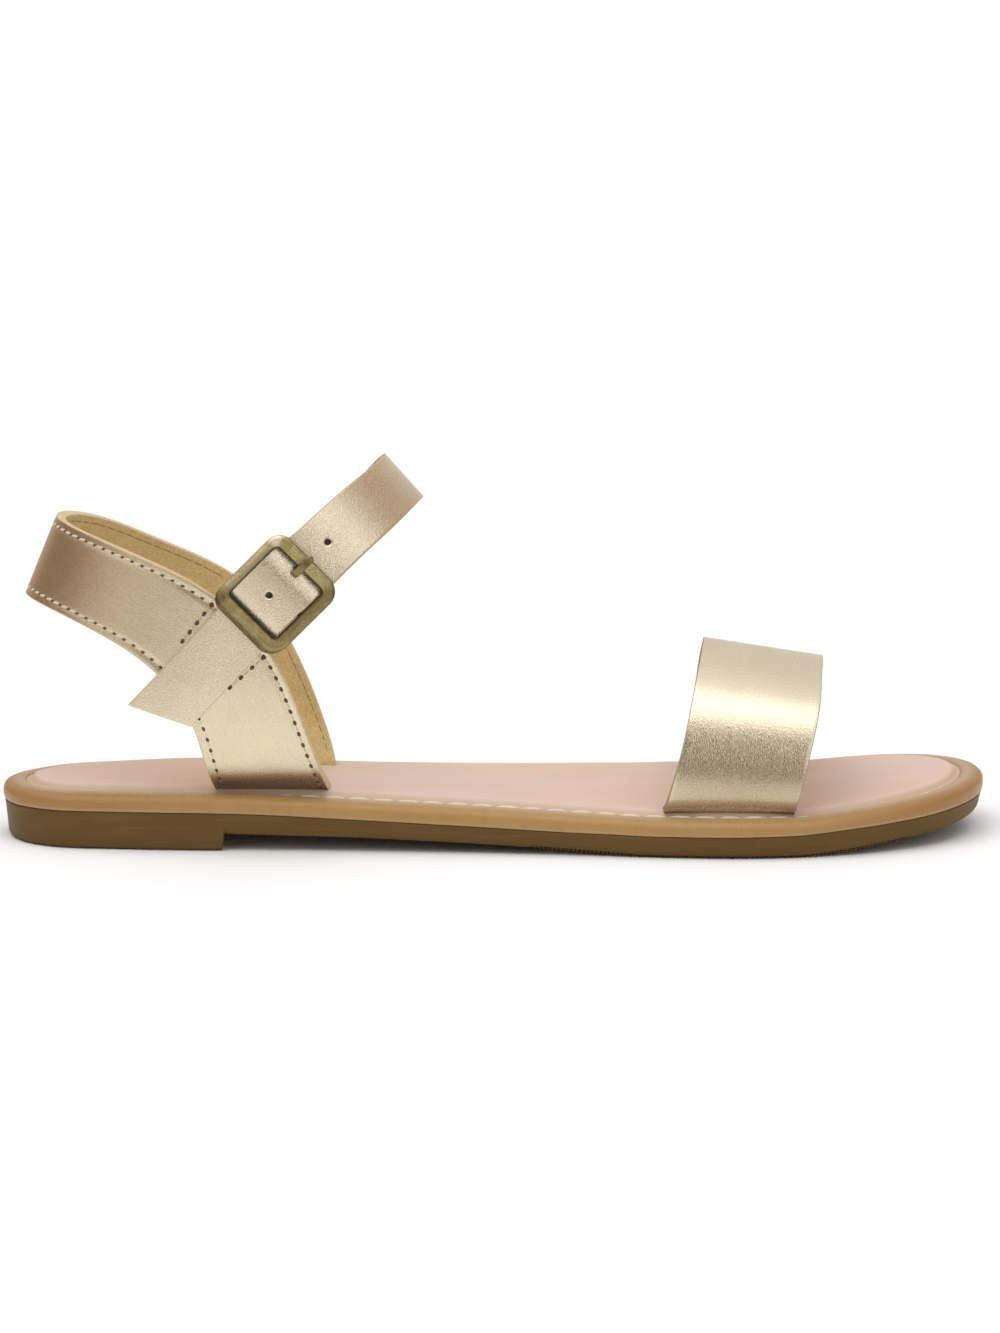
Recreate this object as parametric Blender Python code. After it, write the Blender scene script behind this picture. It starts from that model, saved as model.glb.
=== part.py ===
"""Flat sandal for a right foot: low sole, toe strap, heel strap and a buckled ankle strap.

X runs from heel to toe, -Y is the outer side with the buckle, +Y the inner side, and Z is up.
The sole stands on Z = 0. Tables and sizes are in millimetres; the meshes are in metres.
"""
import math

import bpy
import numpy as np

MM = 0.001
SHARP_ANGLE = math.radians(35.0)

# Driving sizes
SHOE_LENGTH = 250.0
FIT_GAP = 0.3
STATION_COUNT = 41
STATION_CLEARANCE = 2.0
HEEL_BREAST = -68.3
BREAST_SLOPE = 0.6

# Sole sections: place along the foot, outer and inner edge, underside of waist and toe, top of outsole
SOLE_COLUMNS = ("station", "outer", "inner", "tread", "seat")
SOLE_SECTIONS = (
    (-125.0, -4.5, -4.5, 4.4, 9.0),
    (-120.0, -20.5, 8.0, 4.4, 9.0),
    (-110.0, -28.0, 16.5, 4.4, 9.0),
    (-95.0, -30.5, 21.0, 4.4, 9.0),
    (-80.0, -32.0, 23.0, 4.4, 9.0),
    (-60.0, -32.8, 24.0, 3.9, 8.7),
    (-35.0, -34.0, 26.0, 3.0, 7.6),
    (0.0, -36.4, 32.0, 1.6, 6.1),
    (22.0, -39.0, 38.0, 0.6, 5.1),
    (40.0, -41.6, 42.0, 0.0, 4.5),
    (60.0, -43.2, 43.2, 0.0, 4.5),
    (74.0, -42.0, 43.2, 0.0, 4.5),
    (90.0, -38.0, 42.8, 1.3, 5.9),
    (102.0, -32.0, 40.6, 2.6, 7.1),
    (113.0, -23.6, 34.8, 3.8, 8.2),
    (121.0, -11.5, 25.0, 4.7, 9.0),
    (125.0, 8.5, 8.5, 5.2, 9.4),
)

# Profiles round the edge: distance in from the outline, height
OUTSOLE_FOOT = ((3.2, 0.0), (2.3, 0.8))
OUTSOLE_TOP_INSET = 1.1
RIM_PROFILE = (
    (1.5, 0.3), (0.4, 1.0), (0.0, 2.2), (0.25, 3.4), (1.1, 4.4),
    (2.5, 5.0), (4.4, 5.2), (5.6, 5.0), (5.7, 3.0),
)
SOCK_PROFILE = ((6.0, 3.3), (6.0, 4.6), (7.0, 5.2), (9.0, 5.5))

# Strap ends below the sock
SLOT_TOP = 8.0
SLOT_FLOOR = 0.9
STRAP_FOOT = 1.3

# Toe strap sections from the outer slot over the foot to the inner slot
TOE_WALL = 2.0
TOE_COLUMNS = ("across", "rear", "rear_height", "front", "front_height")
TOE_SECTIONS = (
    (-34.0, 42.7, 10.4, 76.4, 10.5),
    (-37.2, 45.3, 18.5, 78.0, 18.0),
    (-36.6, 47.6, 28.0, 79.4, 27.0),
    (-29.8, 50.2, 38.2, 80.8, 35.7),
    (-16.5, 52.3, 44.9, 82.2, 40.8),
    (0.0, 53.4, 47.0, 82.8, 42.4),
    (16.0, 54.0, 45.2, 82.6, 41.2),
    (29.0, 53.2, 38.8, 81.6, 35.8),
    (36.8, 52.0, 29.0, 80.2, 27.0),
    (38.0, 50.6, 19.0, 78.8, 18.5),
    (34.5, 49.0, 10.4, 77.6, 10.6),
)
TOE_STATIONS = 41
TOE_ACROSS = 5

# Heel strap: oval plan of the heel, its lean, and how far it is drawn in near the sole
HEEL_WALL = 2.6
HEEL_CENTRE = -4.5
HEEL_OVAL_LENGTH = 55.0
HEEL_OVAL_HALF = 29.0
HEEL_STRAIGHT = 100.0
HEEL_OVAL_STEPS = 181
HEEL_BACK_X = -117.8
HEEL_BACK_HEIGHT = 60.6
HEEL_LEAN = 0.41
HEEL_DRAW = ((9.0, 0.70), (14.6, 0.70), (18.0, 0.80), (22.0, 0.885), (28.0, 0.95), (36.0, 0.985),
             (45.0, 1.0), (62.0, 1.0), (90.0, 0.95))

# Heel strap sections from the back to the slot: lower or rear edge, upper or front edge
HEEL_COLUMNS = ("low", "low_height", "up", "up_height")
HEEL_SECTIONS = (
    (-117.8, 60.6, -108.9, 82.2),
    (-101.4, 55.6, -89.1, 72.6),
    (-84.8, 45.1, -69.8, 63.6),
    (-75.7, 32.9, -56.5, 50.2),
    (-72.2, 23.4, -46.6, 30.6),
    (-69.8, 14.4, -40.8, 14.4),
)
HEEL_STATIONS = 49
HEEL_ACROSS = 5

# Ankle strap sections from the tail end round the front of the ankle to the inner side:
# upper edge, lower edge, and how far the section lies on the heel strap
ANKLE_WALL = 1.4
ANKLE_COLUMNS = ("up_x", "up_y", "up_z", "low_x", "low_y", "low_z", "on_heel")
ANKLE_SECTIONS = (
    (-91.3, -33.0, 37.7, -75.5, -34.0, 32.4, 1.0),
    (-80.2, -35.0, 49.5, -67.0, -35.5, 41.5, 1.0),
    (-69.2, -35.8, 61.3, -58.0, -35.8, 50.9, 1.0),
    (-60.3, -36.0, 71.0, -49.3, -36.0, 60.4, 0.0),
    (-50.4, -34.5, 79.9, -39.7, -34.5, 68.8, 0.0),
    (-38.6, -28.0, 89.7, -28.0, -28.0, 78.4, 0.0),
    (-28.8, -6.0, 96.0, -19.2, -6.0, 85.2, 0.0),
    (-29.6, 8.0, 94.2, -19.4, 8.0, 83.0, 0.0),
    (-36.5, 19.0, 86.0, -26.0, 19.0, 75.0, 0.0),
    (-47.5, 24.0, 75.2, -37.0, 24.0, 64.0, 0.0),
    (-57.5, 24.5, 64.8, -47.0, 24.5, 53.5, 0.0),
    (-66.5, 24.5, 55.4, -56.0, 24.5, 44.1, 0.0),
)
ANKLE_STATIONS = 71
ANKLE_ACROSS = 5
BUCKLE_SECTION = 3
BUCKLE_RISE = 1.1
BUCKLE_RISE_REACH = 4.6
BUCKLE_RISE_PLACE = 2.5

# Buckle: square frame, hinge bar under the strap, prong and the tab that holds the hinge bar.
# Routes and posts run along the strap, across it and outwards from the middle of the opening.
FRAME_OPENING = 16.2
FRAME_BAR = 3.4
FRAME_THICKNESS = 2.0
FRAME_RISE = 2.2
FRAME_CORNER = 4.5
FRAME_INNER_CORNER = 0.9
FRAME_EASE = 0.6
FRAME_CROWN = 0.15
FRAME_ARC_STEPS = 5
HINGE_RADIUS = 0.7
HINGE_DROP = 1.9
HINGE_SIDES = 10
HINGE_POST = ((0.0, 0.0), (0.0, 2.8), (0.5, 3.7), (1.4, FRAME_RISE + HINGE_DROP))
PRONG_WIDTH = 2.0
PRONG_WALL = 0.8
PRONG_ROUTE = (
    (5.0, -0.5), (6.0, -0.1), (6.5, 0.8), (6.7, 2.4), (7.3, 3.6), (8.6, 4.1), (10.4, 4.15), (11.9, 3.8),
)
PRONG_CURL = (300.0, 90.0)
PRONG_HOLE = ((5.1, -1.5, -1.5), (7.7, 1.5, 3.0))
TAB_WIDTH = 13.6
TAB_WALL = 0.7
TAB_NOTCH = ((-3.2, -1.5, -6.0), (4.0, 1.5, 2.0))
TAB_CURL = (-110.0, 120.0)
TAB_ROUTE = ((-19.0, -5.75), (-13.0, -5.35), (-8.0, -4.6), (-4.0, -3.6))
CURL_STEPS = 14


def clear_scene():
    """Remove every object of the open scene."""
    for item in list(bpy.data.objects):
        bpy.data.objects.remove(item, do_unlink=True)


def finish_material(name, colour, roughness, metallic=0.0):
    """Return a Principled material of one colour."""
    material = bpy.data.materials.new(name)
    material.use_nodes = True
    shader = material.node_tree.nodes["Principled BSDF"]
    shader.inputs["Base Color"].default_value = (*colour, 1.0)
    shader.inputs["Roughness"].default_value = roughness
    shader.inputs["Metallic"].default_value = metallic
    return material


def make_object(name, points, faces, material=None):
    """Make a mesh object from points in millimetres, with smooth sides and sharp edges."""
    mesh = bpy.data.meshes.new(name)
    mesh.from_pydata((np.asarray(points) * MM).tolist(), [], faces)
    mesh.update()
    mesh.shade_smooth()
    mesh.set_sharp_from_angle(angle=SHARP_ANGLE)
    item = bpy.data.objects.new(name, mesh)
    bpy.context.scene.collection.objects.link(item)
    if material:
        mesh.materials.append(material)
    return item


def hide_guide(item):
    """Mark an object as a guide that only shapes other pieces."""
    item.hide_render = True
    item.display_type = "WIRE"
    return item


def combine(item, guide, operation):
    """Cut a piece with a guide, or join the guide to it."""
    boolean = item.modifiers.new(operation.title(), "BOOLEAN")
    boolean.operation = operation
    boolean.solver = "EXACT"
    boolean.object = guide


def thicken(item, wall):
    """Give a sheet its wall, half to each side."""
    solidify = item.modifiers.new("Wall", "SOLIDIFY")
    solidify.thickness = wall * MM
    solidify.offset = 0.0
    solidify.use_even_offset = True


def column(table, names, name):
    """Return one named column of a table."""
    return np.array([row[names.index(name)] for row in table])


def spline(knots, values, places):
    """Natural cubic curve through the knots."""
    knots = np.asarray(knots, float)
    values = np.asarray(values, float)
    step = np.diff(knots)
    count = len(knots)
    matrix = np.eye(count)
    right = np.zeros(count)
    for i in range(1, count - 1):
        matrix[i, i - 1:i + 2] = (step[i - 1], 2.0 * (step[i - 1] + step[i]), step[i])
        right[i] = 6.0 * ((values[i + 1] - values[i]) / step[i] - (values[i] - values[i - 1]) / step[i - 1])
    bend = np.linalg.solve(matrix, right)
    i = np.clip(np.searchsorted(knots, places, side="right") - 1, 0, count - 2)
    before = places - knots[i]
    after = knots[i + 1] - places
    straight = (values[i] * after + values[i + 1] * before) / step[i]
    curved = (bend[i] * (after ** 3 / step[i] - after * step[i])
              + bend[i + 1] * (before ** 3 / step[i] - before * step[i]))
    return straight + curved / 6.0


def even_curve(knots, values, places):
    """Cubic curve through the knots that never swings past them."""
    knots = np.asarray(knots, float)
    values = np.asarray(values, float)
    step = np.diff(knots)
    rise = np.diff(values) / step
    slope = np.concatenate(([rise[0]], 0.5 * (rise[1:] + rise[:-1]), [rise[-1]]))
    flat = rise[1:] * rise[:-1] <= 0.0
    slope[1:-1][flat] = 0.0
    limit = 3.0 * np.minimum(np.abs(np.append(rise[0], rise)), np.abs(np.append(rise, rise[-1])))
    slope = np.sign(slope) * np.minimum(np.abs(slope), limit)
    i = np.clip(np.searchsorted(knots, places, side="right") - 1, 0, len(knots) - 2)
    t = (places - knots[i]) / step[i]
    return ((1 + 2 * t) * (1 - t) ** 2 * values[i] + t * (1 - t) ** 2 * step[i] * slope[i]
            + t * t * (3 - 2 * t) * values[i + 1] + t * t * (t - 1) * step[i] * slope[i + 1])


# Sole

def turn_of(station):
    """Return the angle that spaces the stations closely at heel end and toe end."""
    return np.arccos(np.clip(-2.0 * np.asarray(station) / SHOE_LENGTH, -1.0, 1.0))


def sole_value(name, station):
    """Return one sole column at places along the foot."""
    knots = turn_of(column(SOLE_SECTIONS, SOLE_COLUMNS, "station"))
    return even_curve(knots, column(SOLE_SECTIONS, SOLE_COLUMNS, name), turn_of(station))


def sole_stations():
    """Return the stations from heel end to toe end, with a close pair at the heel breast."""
    even = -0.5 * SHOE_LENGTH * np.cos(np.linspace(0.0, math.pi, STATION_COUNT))
    clear = even[np.abs(even - HEEL_BREAST) > STATION_CLEARANCE]
    return np.sort(np.append(clear, (HEEL_BREAST, HEEL_BREAST + BREAST_SLOPE)))


def sole_ring(inset):
    """Return the sole's closed outline, moved inwards: heel end, outer side, toe end, inner side."""
    stations = sole_stations()
    outer = np.column_stack((stations, sole_value("outer", stations)))
    inner = np.column_stack((stations, sole_value("inner", stations)))
    loop = np.vstack((outer, inner[-2:0:-1]))
    along = np.roll(loop, -1, axis=0) - np.roll(loop, 1, axis=0)
    along /= np.linalg.norm(along, axis=1)[:, None]
    return loop + inset * np.column_stack((-along[:, 1], along[:, 0]))


def at_height(ring, height):
    """Return a ring with its heights as a third column."""
    return np.column_stack((ring, np.broadcast_to(height, len(ring))))


def ring_solid(name, rings, material):
    """Close a stack of rings, first ring facing down and last ring facing up."""
    count = len(rings[0])
    half = count // 2
    points = np.vstack(rings)
    faces = []
    for level in range(len(rings) - 1):
        low = level * count
        for i in range(count):
            j = (i + 1) % count
            faces.append((low + i, low + j, low + count + j, low + count + i))
    top = (len(rings) - 1) * count
    for i in range(half):
        strip = [i, i + 1, (count - i - 1) % count, (count - i) % count]
        strip = list(dict.fromkeys(strip))
        faces.append(tuple(top + k for k in strip))
        faces.append(tuple(reversed(strip)))
    return make_object(name, points, faces, material)


def tread_height(ring):
    """Return the underside: flat heel block, stepped up waist, flat forefoot and toe spring."""
    half = len(ring) // 2
    front_of_breast = np.arange(half + 1) > np.searchsorted(sole_stations(), HEEL_BREAST)
    waist = np.append(front_of_breast, front_of_breast[-2:0:-1])
    return np.where(waist, sole_value("tread", ring[:, 0]), 0.0)


def make_outsole():
    """Outsole with its low heel block."""
    rings = [at_height(ring, tread_height(ring) + lift)
             for ring, lift in ((sole_ring(inset), lift) for inset, lift in OUTSOLE_FOOT)]
    top = sole_ring(OUTSOLE_TOP_INSET)
    rings.append(at_height(top, sole_value("seat", top[:, 0])))
    return ring_solid("outsole", rings, finish_material("brown_rubber", (0.122, 0.072, 0.026), 0.55))


def profile_solid(name, profile, material):
    """Solid that follows the sole's outline with one edge profile above the outsole."""
    rings = []
    for inset, lift in profile:
        ring = sole_ring(inset)
        rings.append(at_height(ring, sole_value("seat", ring[:, 0]) + lift))
    return ring_solid(name, rings, material)


def box_points(low, high):
    """Return the corners and faces of an upright box."""
    corners = [(x, y, z) for x in (low[0], high[0]) for y in (low[1], high[1]) for z in (low[2], high[2])]
    faces = ((0, 1, 3, 2), (4, 6, 7, 5), (0, 4, 5, 1), (2, 3, 7, 6), (0, 2, 6, 4), (1, 5, 7, 3))
    return corners, faces


def strap_feet():
    """Return the four strap ends: rear, front, place across and wall."""
    feet = []
    for row in (TOE_SECTIONS[0], TOE_SECTIONS[-1]):
        feet.append((row[1], row[3], row[0], TOE_WALL))
    base = HEEL_SECTIONS[-1]
    draw = HEEL_DRAW[0][1] * HEEL_OVAL_HALF
    for side in (-1.0, 1.0):
        feet.append((base[0], base[2], HEEL_CENTRE + side * draw, HEEL_WALL))
    return feet


def make_slots():
    """Guide that cuts a slit through the sock and a pocket below it for each strap end."""
    points = []
    faces = []
    for rear, front, across, wall in strap_feet():
        seat = sole_value("seat", np.array([0.5 * (rear + front)]))[0]
        room = 0.5 * wall + FIT_GAP
        corners, sides = box_points((rear - FIT_GAP, across - room, seat + SLOT_FLOOR),
                                    (front + FIT_GAP, across + room, seat + SLOT_TOP))
        faces.extend(tuple(len(points) + k for k in side) for side in sides)
        points.extend(corners)
    return hide_guide(make_object("slot_guide", points, faces))


# Straps

def grid_faces(rows, columns):
    """Return the quads of a grid of points."""
    index = np.arange(rows * columns).reshape(rows, columns)
    quads = np.stack((index[:-1, :-1], index[1:, :-1], index[1:, 1:], index[:-1, 1:]), axis=-1)
    return [tuple(quad) for quad in quads.reshape(-1, 4).tolist()]


def sheet(name, grid, wall, material=None):
    """Make a strap of even wall from a grid of points."""
    rows, columns = grid.shape[:2]
    item = make_object(name, grid.reshape(-1, 3), grid_faces(rows, columns), material)
    thicken(item, wall)
    return item


def chord_knots(points):
    """Return the running length through the points."""
    return np.append(0.0, np.cumsum(np.linalg.norm(np.diff(points, axis=0), axis=1)))


def strap_foot_height(station):
    """Return the lowest height of a strap end in its pocket."""
    return sole_value("seat", np.array([station]))[0] + STRAP_FOOT


def with_feet(grid):
    """Add the straight ends that stand in the slits to both ends of a strap grid."""
    ends = []
    for row in (grid[0], grid[-1]):
        foot = row.copy()
        foot[:, 2] = strap_foot_height(0.5 * (row[0, 0] + row[-1, 0]))
        ends.append(foot[None])
    return np.concatenate((ends[0], grid, ends[1]))


def toe_grid():
    """Arch over the toes: sections from rear edge to front edge."""
    across, rear, rear_height, front, front_height = (
        column(TOE_SECTIONS, TOE_COLUMNS, name) for name in TOE_COLUMNS)
    knots = chord_knots(np.column_stack((across, rear_height)))
    places = np.linspace(0.0, knots[-1], TOE_STATIONS)
    share = np.linspace(0.0, 1.0, TOE_ACROSS)
    x = np.outer(spline(knots, rear, places), 1 - share) + np.outer(spline(knots, front, places), share)
    z = (np.outer(spline(knots, rear_height, places), 1 - share)
         + np.outer(spline(knots, front_height, places), share))
    y = np.repeat(spline(knots, across, places)[:, None], TOE_ACROSS, axis=1)
    return with_feet(np.stack((x, y, z), axis=-1))


def make_toe_strap(material):
    """Broad strap over the toes, both ends standing in the sole."""
    return sheet("toe_strap", toe_grid(), TOE_WALL, material)


def heel_back(height):
    """Return how far back the heel strap reaches at a height."""
    return HEEL_BACK_X + HEEL_LEAN * (height - HEEL_BACK_HEIGHT)


def heel_half(forward, height):
    """Return the half width of the heel plan at a distance forward of its back."""
    share = np.clip(1.0 - forward / HEEL_OVAL_LENGTH, 0.0, 1.0)
    draw = even_curve(*np.array(HEEL_DRAW).T, height)
    return HEEL_OVAL_HALF * np.sqrt(1.0 - share * share) * draw


def oval_lengths():
    """Return running lengths and forward distances along the oval and its straight sides."""
    angle = np.linspace(0.0, 0.5 * math.pi, HEEL_OVAL_STEPS)
    forward = HEEL_OVAL_LENGTH * (1.0 - np.cos(angle))
    plan = np.column_stack((forward, HEEL_OVAL_HALF * np.sin(angle)))
    lengths = chord_knots(plan)
    lengths = np.append(lengths, lengths[-1] + HEEL_STRAIGHT)
    return lengths, np.append(forward, forward[-1] + HEEL_STRAIGHT)


def heel_grid():
    """Band from the outer slit round the heel to the inner slit: sections from lower to upper edge."""
    lengths, forward = oval_lengths()
    low, low_height, up, up_height = (column(HEEL_SECTIONS, HEEL_COLUMNS, name) for name in HEEL_COLUMNS)
    low_run = np.interp(low - heel_back(low_height), forward, lengths)
    up_run = np.interp(up - heel_back(up_height), forward, lengths)
    rows = len(HEEL_SECTIONS) - 1
    knots = np.arange(-rows, rows + 1)
    places = np.linspace(-rows, rows, HEEL_STATIONS)
    share = np.linspace(0.0, 1.0, HEEL_ACROSS)

    def both_sides(values, sign):
        return spline(knots, np.append(sign * values[:0:-1], values), places)

    run = np.outer(both_sides(low_run, -1), 1 - share) + np.outer(both_sides(up_run, -1), share)
    z = np.outer(both_sides(low_height, 1), 1 - share) + np.outer(both_sides(up_height, 1), share)
    ahead = np.interp(np.abs(run), lengths, forward)
    x = heel_back(z) + ahead
    y = HEEL_CENTRE + np.sign(run) * heel_half(ahead, z)
    return with_feet(np.stack((x, y, z), axis=-1))


def ankle_frame():
    """Return the ankle strap's running length at each section, its upper edge and its lower edge."""
    table = np.array(ANKLE_SECTIONS)
    upper = table[:, 0:3]
    lower = table[:, 3:6]
    return chord_knots(0.5 * (upper + lower)), upper, lower


def ankle_grid():
    """Strap from its tail over the heel strap, through the buckle, round the ankle to the inner side."""
    knots, upper, lower = ankle_frame()
    places = np.linspace(0.0, knots[-1], ANKLE_STATIONS)
    edges = [np.column_stack([spline(knots, edge[:, axis], places) for axis in range(3)])
             for edge in (lower, upper)]
    share = np.linspace(0.0, 1.0, ANKLE_ACROSS)[None, :, None]
    grid = edges[0][:, None] * (1 - share) + edges[1][:, None] * share
    x, y, z = (grid[..., axis] for axis in range(3))
    lie = even_curve(knots, column(ANKLE_SECTIONS, ANKLE_COLUMNS, "on_heel"), places)[:, None]
    rest = HEEL_CENTRE - heel_half(x - heel_back(z), z) - 0.5 * HEEL_WALL - FIT_GAP - 0.5 * ANKLE_WALL
    from_buckle = places[:, None] - knots[BUCKLE_SECTION] - BUCKLE_RISE_PLACE
    rise = BUCKLE_RISE * np.exp(-(from_buckle / BUCKLE_RISE_REACH) ** 2)
    grid[..., 1] = lie * rest + (1 - lie) * y - rise
    return grid


def buckle_axes():
    """Return the buckle's place and its axes: along the strap, across it and outwards."""
    _, upper, lower = ankle_frame()
    centre = 0.5 * (upper + lower)
    along = centre[BUCKLE_SECTION + 1] - centre[BUCKLE_SECTION - 1]
    along /= np.linalg.norm(along)
    across = upper[BUCKLE_SECTION] - lower[BUCKLE_SECTION]
    across -= along * across.dot(along)
    across /= np.linalg.norm(across)
    return centre[BUCKLE_SECTION], along, across, np.cross(along, across)


def in_buckle(points):
    """Place points given along, across and outwards of the buckle."""
    place, along, across, out = buckle_axes()
    points = np.asarray(points, float)
    return place + points @ np.stack((along, across, out))


def make_heel_and_ankle_strap(material):
    """Heel strap with the ankle strap sewn into its inner side."""
    heel = sheet("heel_and_ankle_strap", heel_grid(), HEEL_WALL, material)
    ankle = hide_guide(sheet("ankle_guide", ankle_grid(), ANKLE_WALL))
    combine(heel, ankle, "UNION")
    corners, faces = box_points(*PRONG_HOLE)
    hole = hide_guide(make_object("prong_hole_guide", in_buckle(corners), faces))
    combine(heel, hole, "DIFFERENCE")
    return heel


# Buckle

def rounded_square(half, radius):
    """Return a square loop with round corners."""
    angles = np.linspace(0.0, 0.5 * math.pi, FRAME_ARC_STEPS)
    loop = []
    for corner in range(4):
        turn = corner * 0.5 * math.pi
        base = np.column_stack((np.cos(angles), np.sin(angles))) * radius + (half - radius)
        spin = np.array(((math.cos(turn), math.sin(turn)), (-math.sin(turn), math.cos(turn))))
        loop.append(base @ spin)
    return np.vstack(loop)


def tube(path, radius, side_axis):
    """Return points and faces of a round bar along a flat path."""
    path = np.asarray(path, float)
    ahead = np.gradient(path, axis=0)
    ahead /= np.linalg.norm(ahead, axis=1)[:, None]
    lift = np.cross(ahead, side_axis)
    angles = np.linspace(0.0, 2.0 * math.pi, HINGE_SIDES, endpoint=False)
    ring = (np.cos(angles)[None, :, None] * np.asarray(side_axis)[None, None]
            + np.sin(angles)[None, :, None] * lift[:, None])
    points = (path[:, None] + radius * ring).reshape(-1, 3)
    faces = []
    for i in range(len(path) - 1):
        for j in range(HINGE_SIDES):
            k = (j + 1) % HINGE_SIDES
            faces.append((i * HINGE_SIDES + j, i * HINGE_SIDES + k,
                          (i + 1) * HINGE_SIDES + k, (i + 1) * HINGE_SIDES + j))
    last = (len(path) - 1) * HINGE_SIDES
    faces.append(tuple(range(HINGE_SIDES))[::-1])
    faces.append(tuple(last + j for j in range(HINGE_SIDES)))
    return points, faces


def make_buckle_frame(material):
    """Square frame with soft corners, and the hinge bar that drops below the strap."""
    inner = 0.5 * FRAME_OPENING
    outer = inner + FRAME_BAR
    middle = 0.5 * FRAME_BAR
    low = FRAME_RISE - 0.5 * FRAME_THICKNESS
    high = FRAME_RISE + 0.5 * FRAME_THICKNESS
    loops = []
    for inset, height in ((0.0, low + FRAME_EASE), (0.0, high - FRAME_EASE), (FRAME_EASE, high),
                          (middle, high + FRAME_CROWN), (FRAME_BAR - FRAME_EASE, high),
                          (FRAME_BAR, high - FRAME_EASE), (FRAME_BAR, low + FRAME_EASE),
                          (FRAME_BAR - FRAME_EASE, low), (FRAME_EASE, low)):
        loop = rounded_square(outer - inset, max(FRAME_CORNER - inset, FRAME_INNER_CORNER))
        loops.append(np.column_stack((loop, np.full(len(loop), height))))
    count = len(loops[0])
    levels = len(loops)
    faces = []
    for level in range(levels):
        up = (level + 1) % levels
        for i in range(count):
            j = (i + 1) % count
            faces.append((level * count + i, level * count + j, up * count + j, up * count + i))
    frame = make_object("buckle_frame", in_buckle(np.vstack(loops)), faces, material)
    post = [(0.0, inner + middle - inward, FRAME_RISE - drop) for inward, drop in HINGE_POST]
    path = [*post, *((x, -y, z) for x, y, z in reversed(post))]
    points, faces = tube(path, HINGE_RADIUS, (1.0, 0.0, 0.0))
    bar = hide_guide(make_object("hinge_guide", in_buckle(points), faces))
    combine(frame, bar, "UNION")
    return frame


def curl(start, stop, radius):
    """Return an arc round the hinge bar between two angles in degrees."""
    angles = np.radians(np.linspace(start, stop, CURL_STEPS))
    return np.column_stack((radius * np.cos(angles), radius * np.sin(angles) - HINGE_DROP))


def buckle_strip(name, route, width, wall, material):
    """Flat strip of even wall that follows a route along and outwards of the buckle."""
    route = np.asarray(route, float)
    grid = np.stack([np.column_stack((route[:, 0], np.full(len(route), side * 0.5 * width), route[:, 1]))
                     for side in (-1.0, 1.0)], axis=1)
    return sheet(name, in_buckle(grid), wall, material)


def make_buckle_prong(material):
    """Prong curled round the hinge bar, up through the strap and over the front bar of the frame."""
    radius = HINGE_RADIUS + FIT_GAP + 0.5 * PRONG_WALL
    route = np.vstack((curl(*PRONG_CURL, radius), PRONG_ROUTE))
    return buckle_strip("buckle_prong", route, PRONG_WIDTH, PRONG_WALL, material)


def make_buckle_tab(material):
    """Tab curled round the hinge bar, its root lying inside the heel strap."""
    radius = HINGE_RADIUS + FIT_GAP + 0.5 * TAB_WALL
    route = np.vstack((TAB_ROUTE, curl(*TAB_CURL, radius)))
    tab = buckle_strip("buckle_tab", route, TAB_WIDTH, TAB_WALL, material)
    corners, faces = box_points(*TAB_NOTCH)
    notch = hide_guide(make_object("prong_notch_guide", in_buckle(corners), faces))
    combine(tab, notch, "DIFFERENCE")
    return tab


def main():
    """Build every piece of the sandal."""
    clear_scene()
    slots = make_slots()
    make_outsole()
    midsole = profile_solid("midsole", RIM_PROFILE, finish_material("tan_rim", (0.434, 0.262, 0.115), 0.5))
    insole = profile_solid("insole", SOCK_PROFILE, finish_material("nude_sock", (0.70, 0.53, 0.44), 0.7))
    combine(midsole, slots, "DIFFERENCE")
    combine(insole, slots, "DIFFERENCE")
    leather = ("gold_leather", (0.68, 0.56, 0.38), 0.38, 0.6)
    make_toe_strap(finish_material(*leather))
    make_heel_and_ankle_strap(finish_material(*leather))
    brass = ("aged_brass", (0.21, 0.16, 0.055), 0.4, 1.0)
    make_buckle_frame(finish_material(*brass))
    make_buckle_prong(finish_material(*brass))
    make_buckle_tab(finish_material(*leather))


main()
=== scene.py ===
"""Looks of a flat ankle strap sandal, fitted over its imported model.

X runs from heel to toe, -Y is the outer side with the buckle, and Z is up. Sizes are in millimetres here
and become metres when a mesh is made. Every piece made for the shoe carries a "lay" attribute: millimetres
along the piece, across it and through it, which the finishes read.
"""
from __future__ import annotations

import logging
import math
from dataclasses import dataclass, field
from enum import Enum, IntEnum
from typing import Any, Callable

import bpy
import numpy as np
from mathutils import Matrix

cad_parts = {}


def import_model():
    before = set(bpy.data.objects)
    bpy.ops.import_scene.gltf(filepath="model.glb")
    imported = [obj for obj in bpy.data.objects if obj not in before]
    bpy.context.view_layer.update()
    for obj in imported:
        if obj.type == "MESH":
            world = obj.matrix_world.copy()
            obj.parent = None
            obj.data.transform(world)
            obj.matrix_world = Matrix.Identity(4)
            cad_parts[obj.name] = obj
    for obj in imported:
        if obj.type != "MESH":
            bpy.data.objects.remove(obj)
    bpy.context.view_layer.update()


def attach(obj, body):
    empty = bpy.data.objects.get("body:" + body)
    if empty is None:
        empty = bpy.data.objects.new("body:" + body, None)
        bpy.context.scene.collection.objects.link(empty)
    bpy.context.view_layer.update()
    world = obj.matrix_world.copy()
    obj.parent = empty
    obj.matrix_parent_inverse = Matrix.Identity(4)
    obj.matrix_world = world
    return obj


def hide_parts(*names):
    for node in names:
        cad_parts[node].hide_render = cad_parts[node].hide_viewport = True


Array = np.ndarray
Colour = tuple[float, float, float]
Table = tuple[tuple[float, ...], ...]
Pair = tuple[float, float]
Place = tuple[float, float, float]
Cloud = tuple[float, float, float]
Span = tuple[float, float, float, float]
Socket = bpy.types.NodeSocket
Looks = dict[str, Any]

MM = 0.001
LOG = logging.getLogger("sandal")


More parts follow.
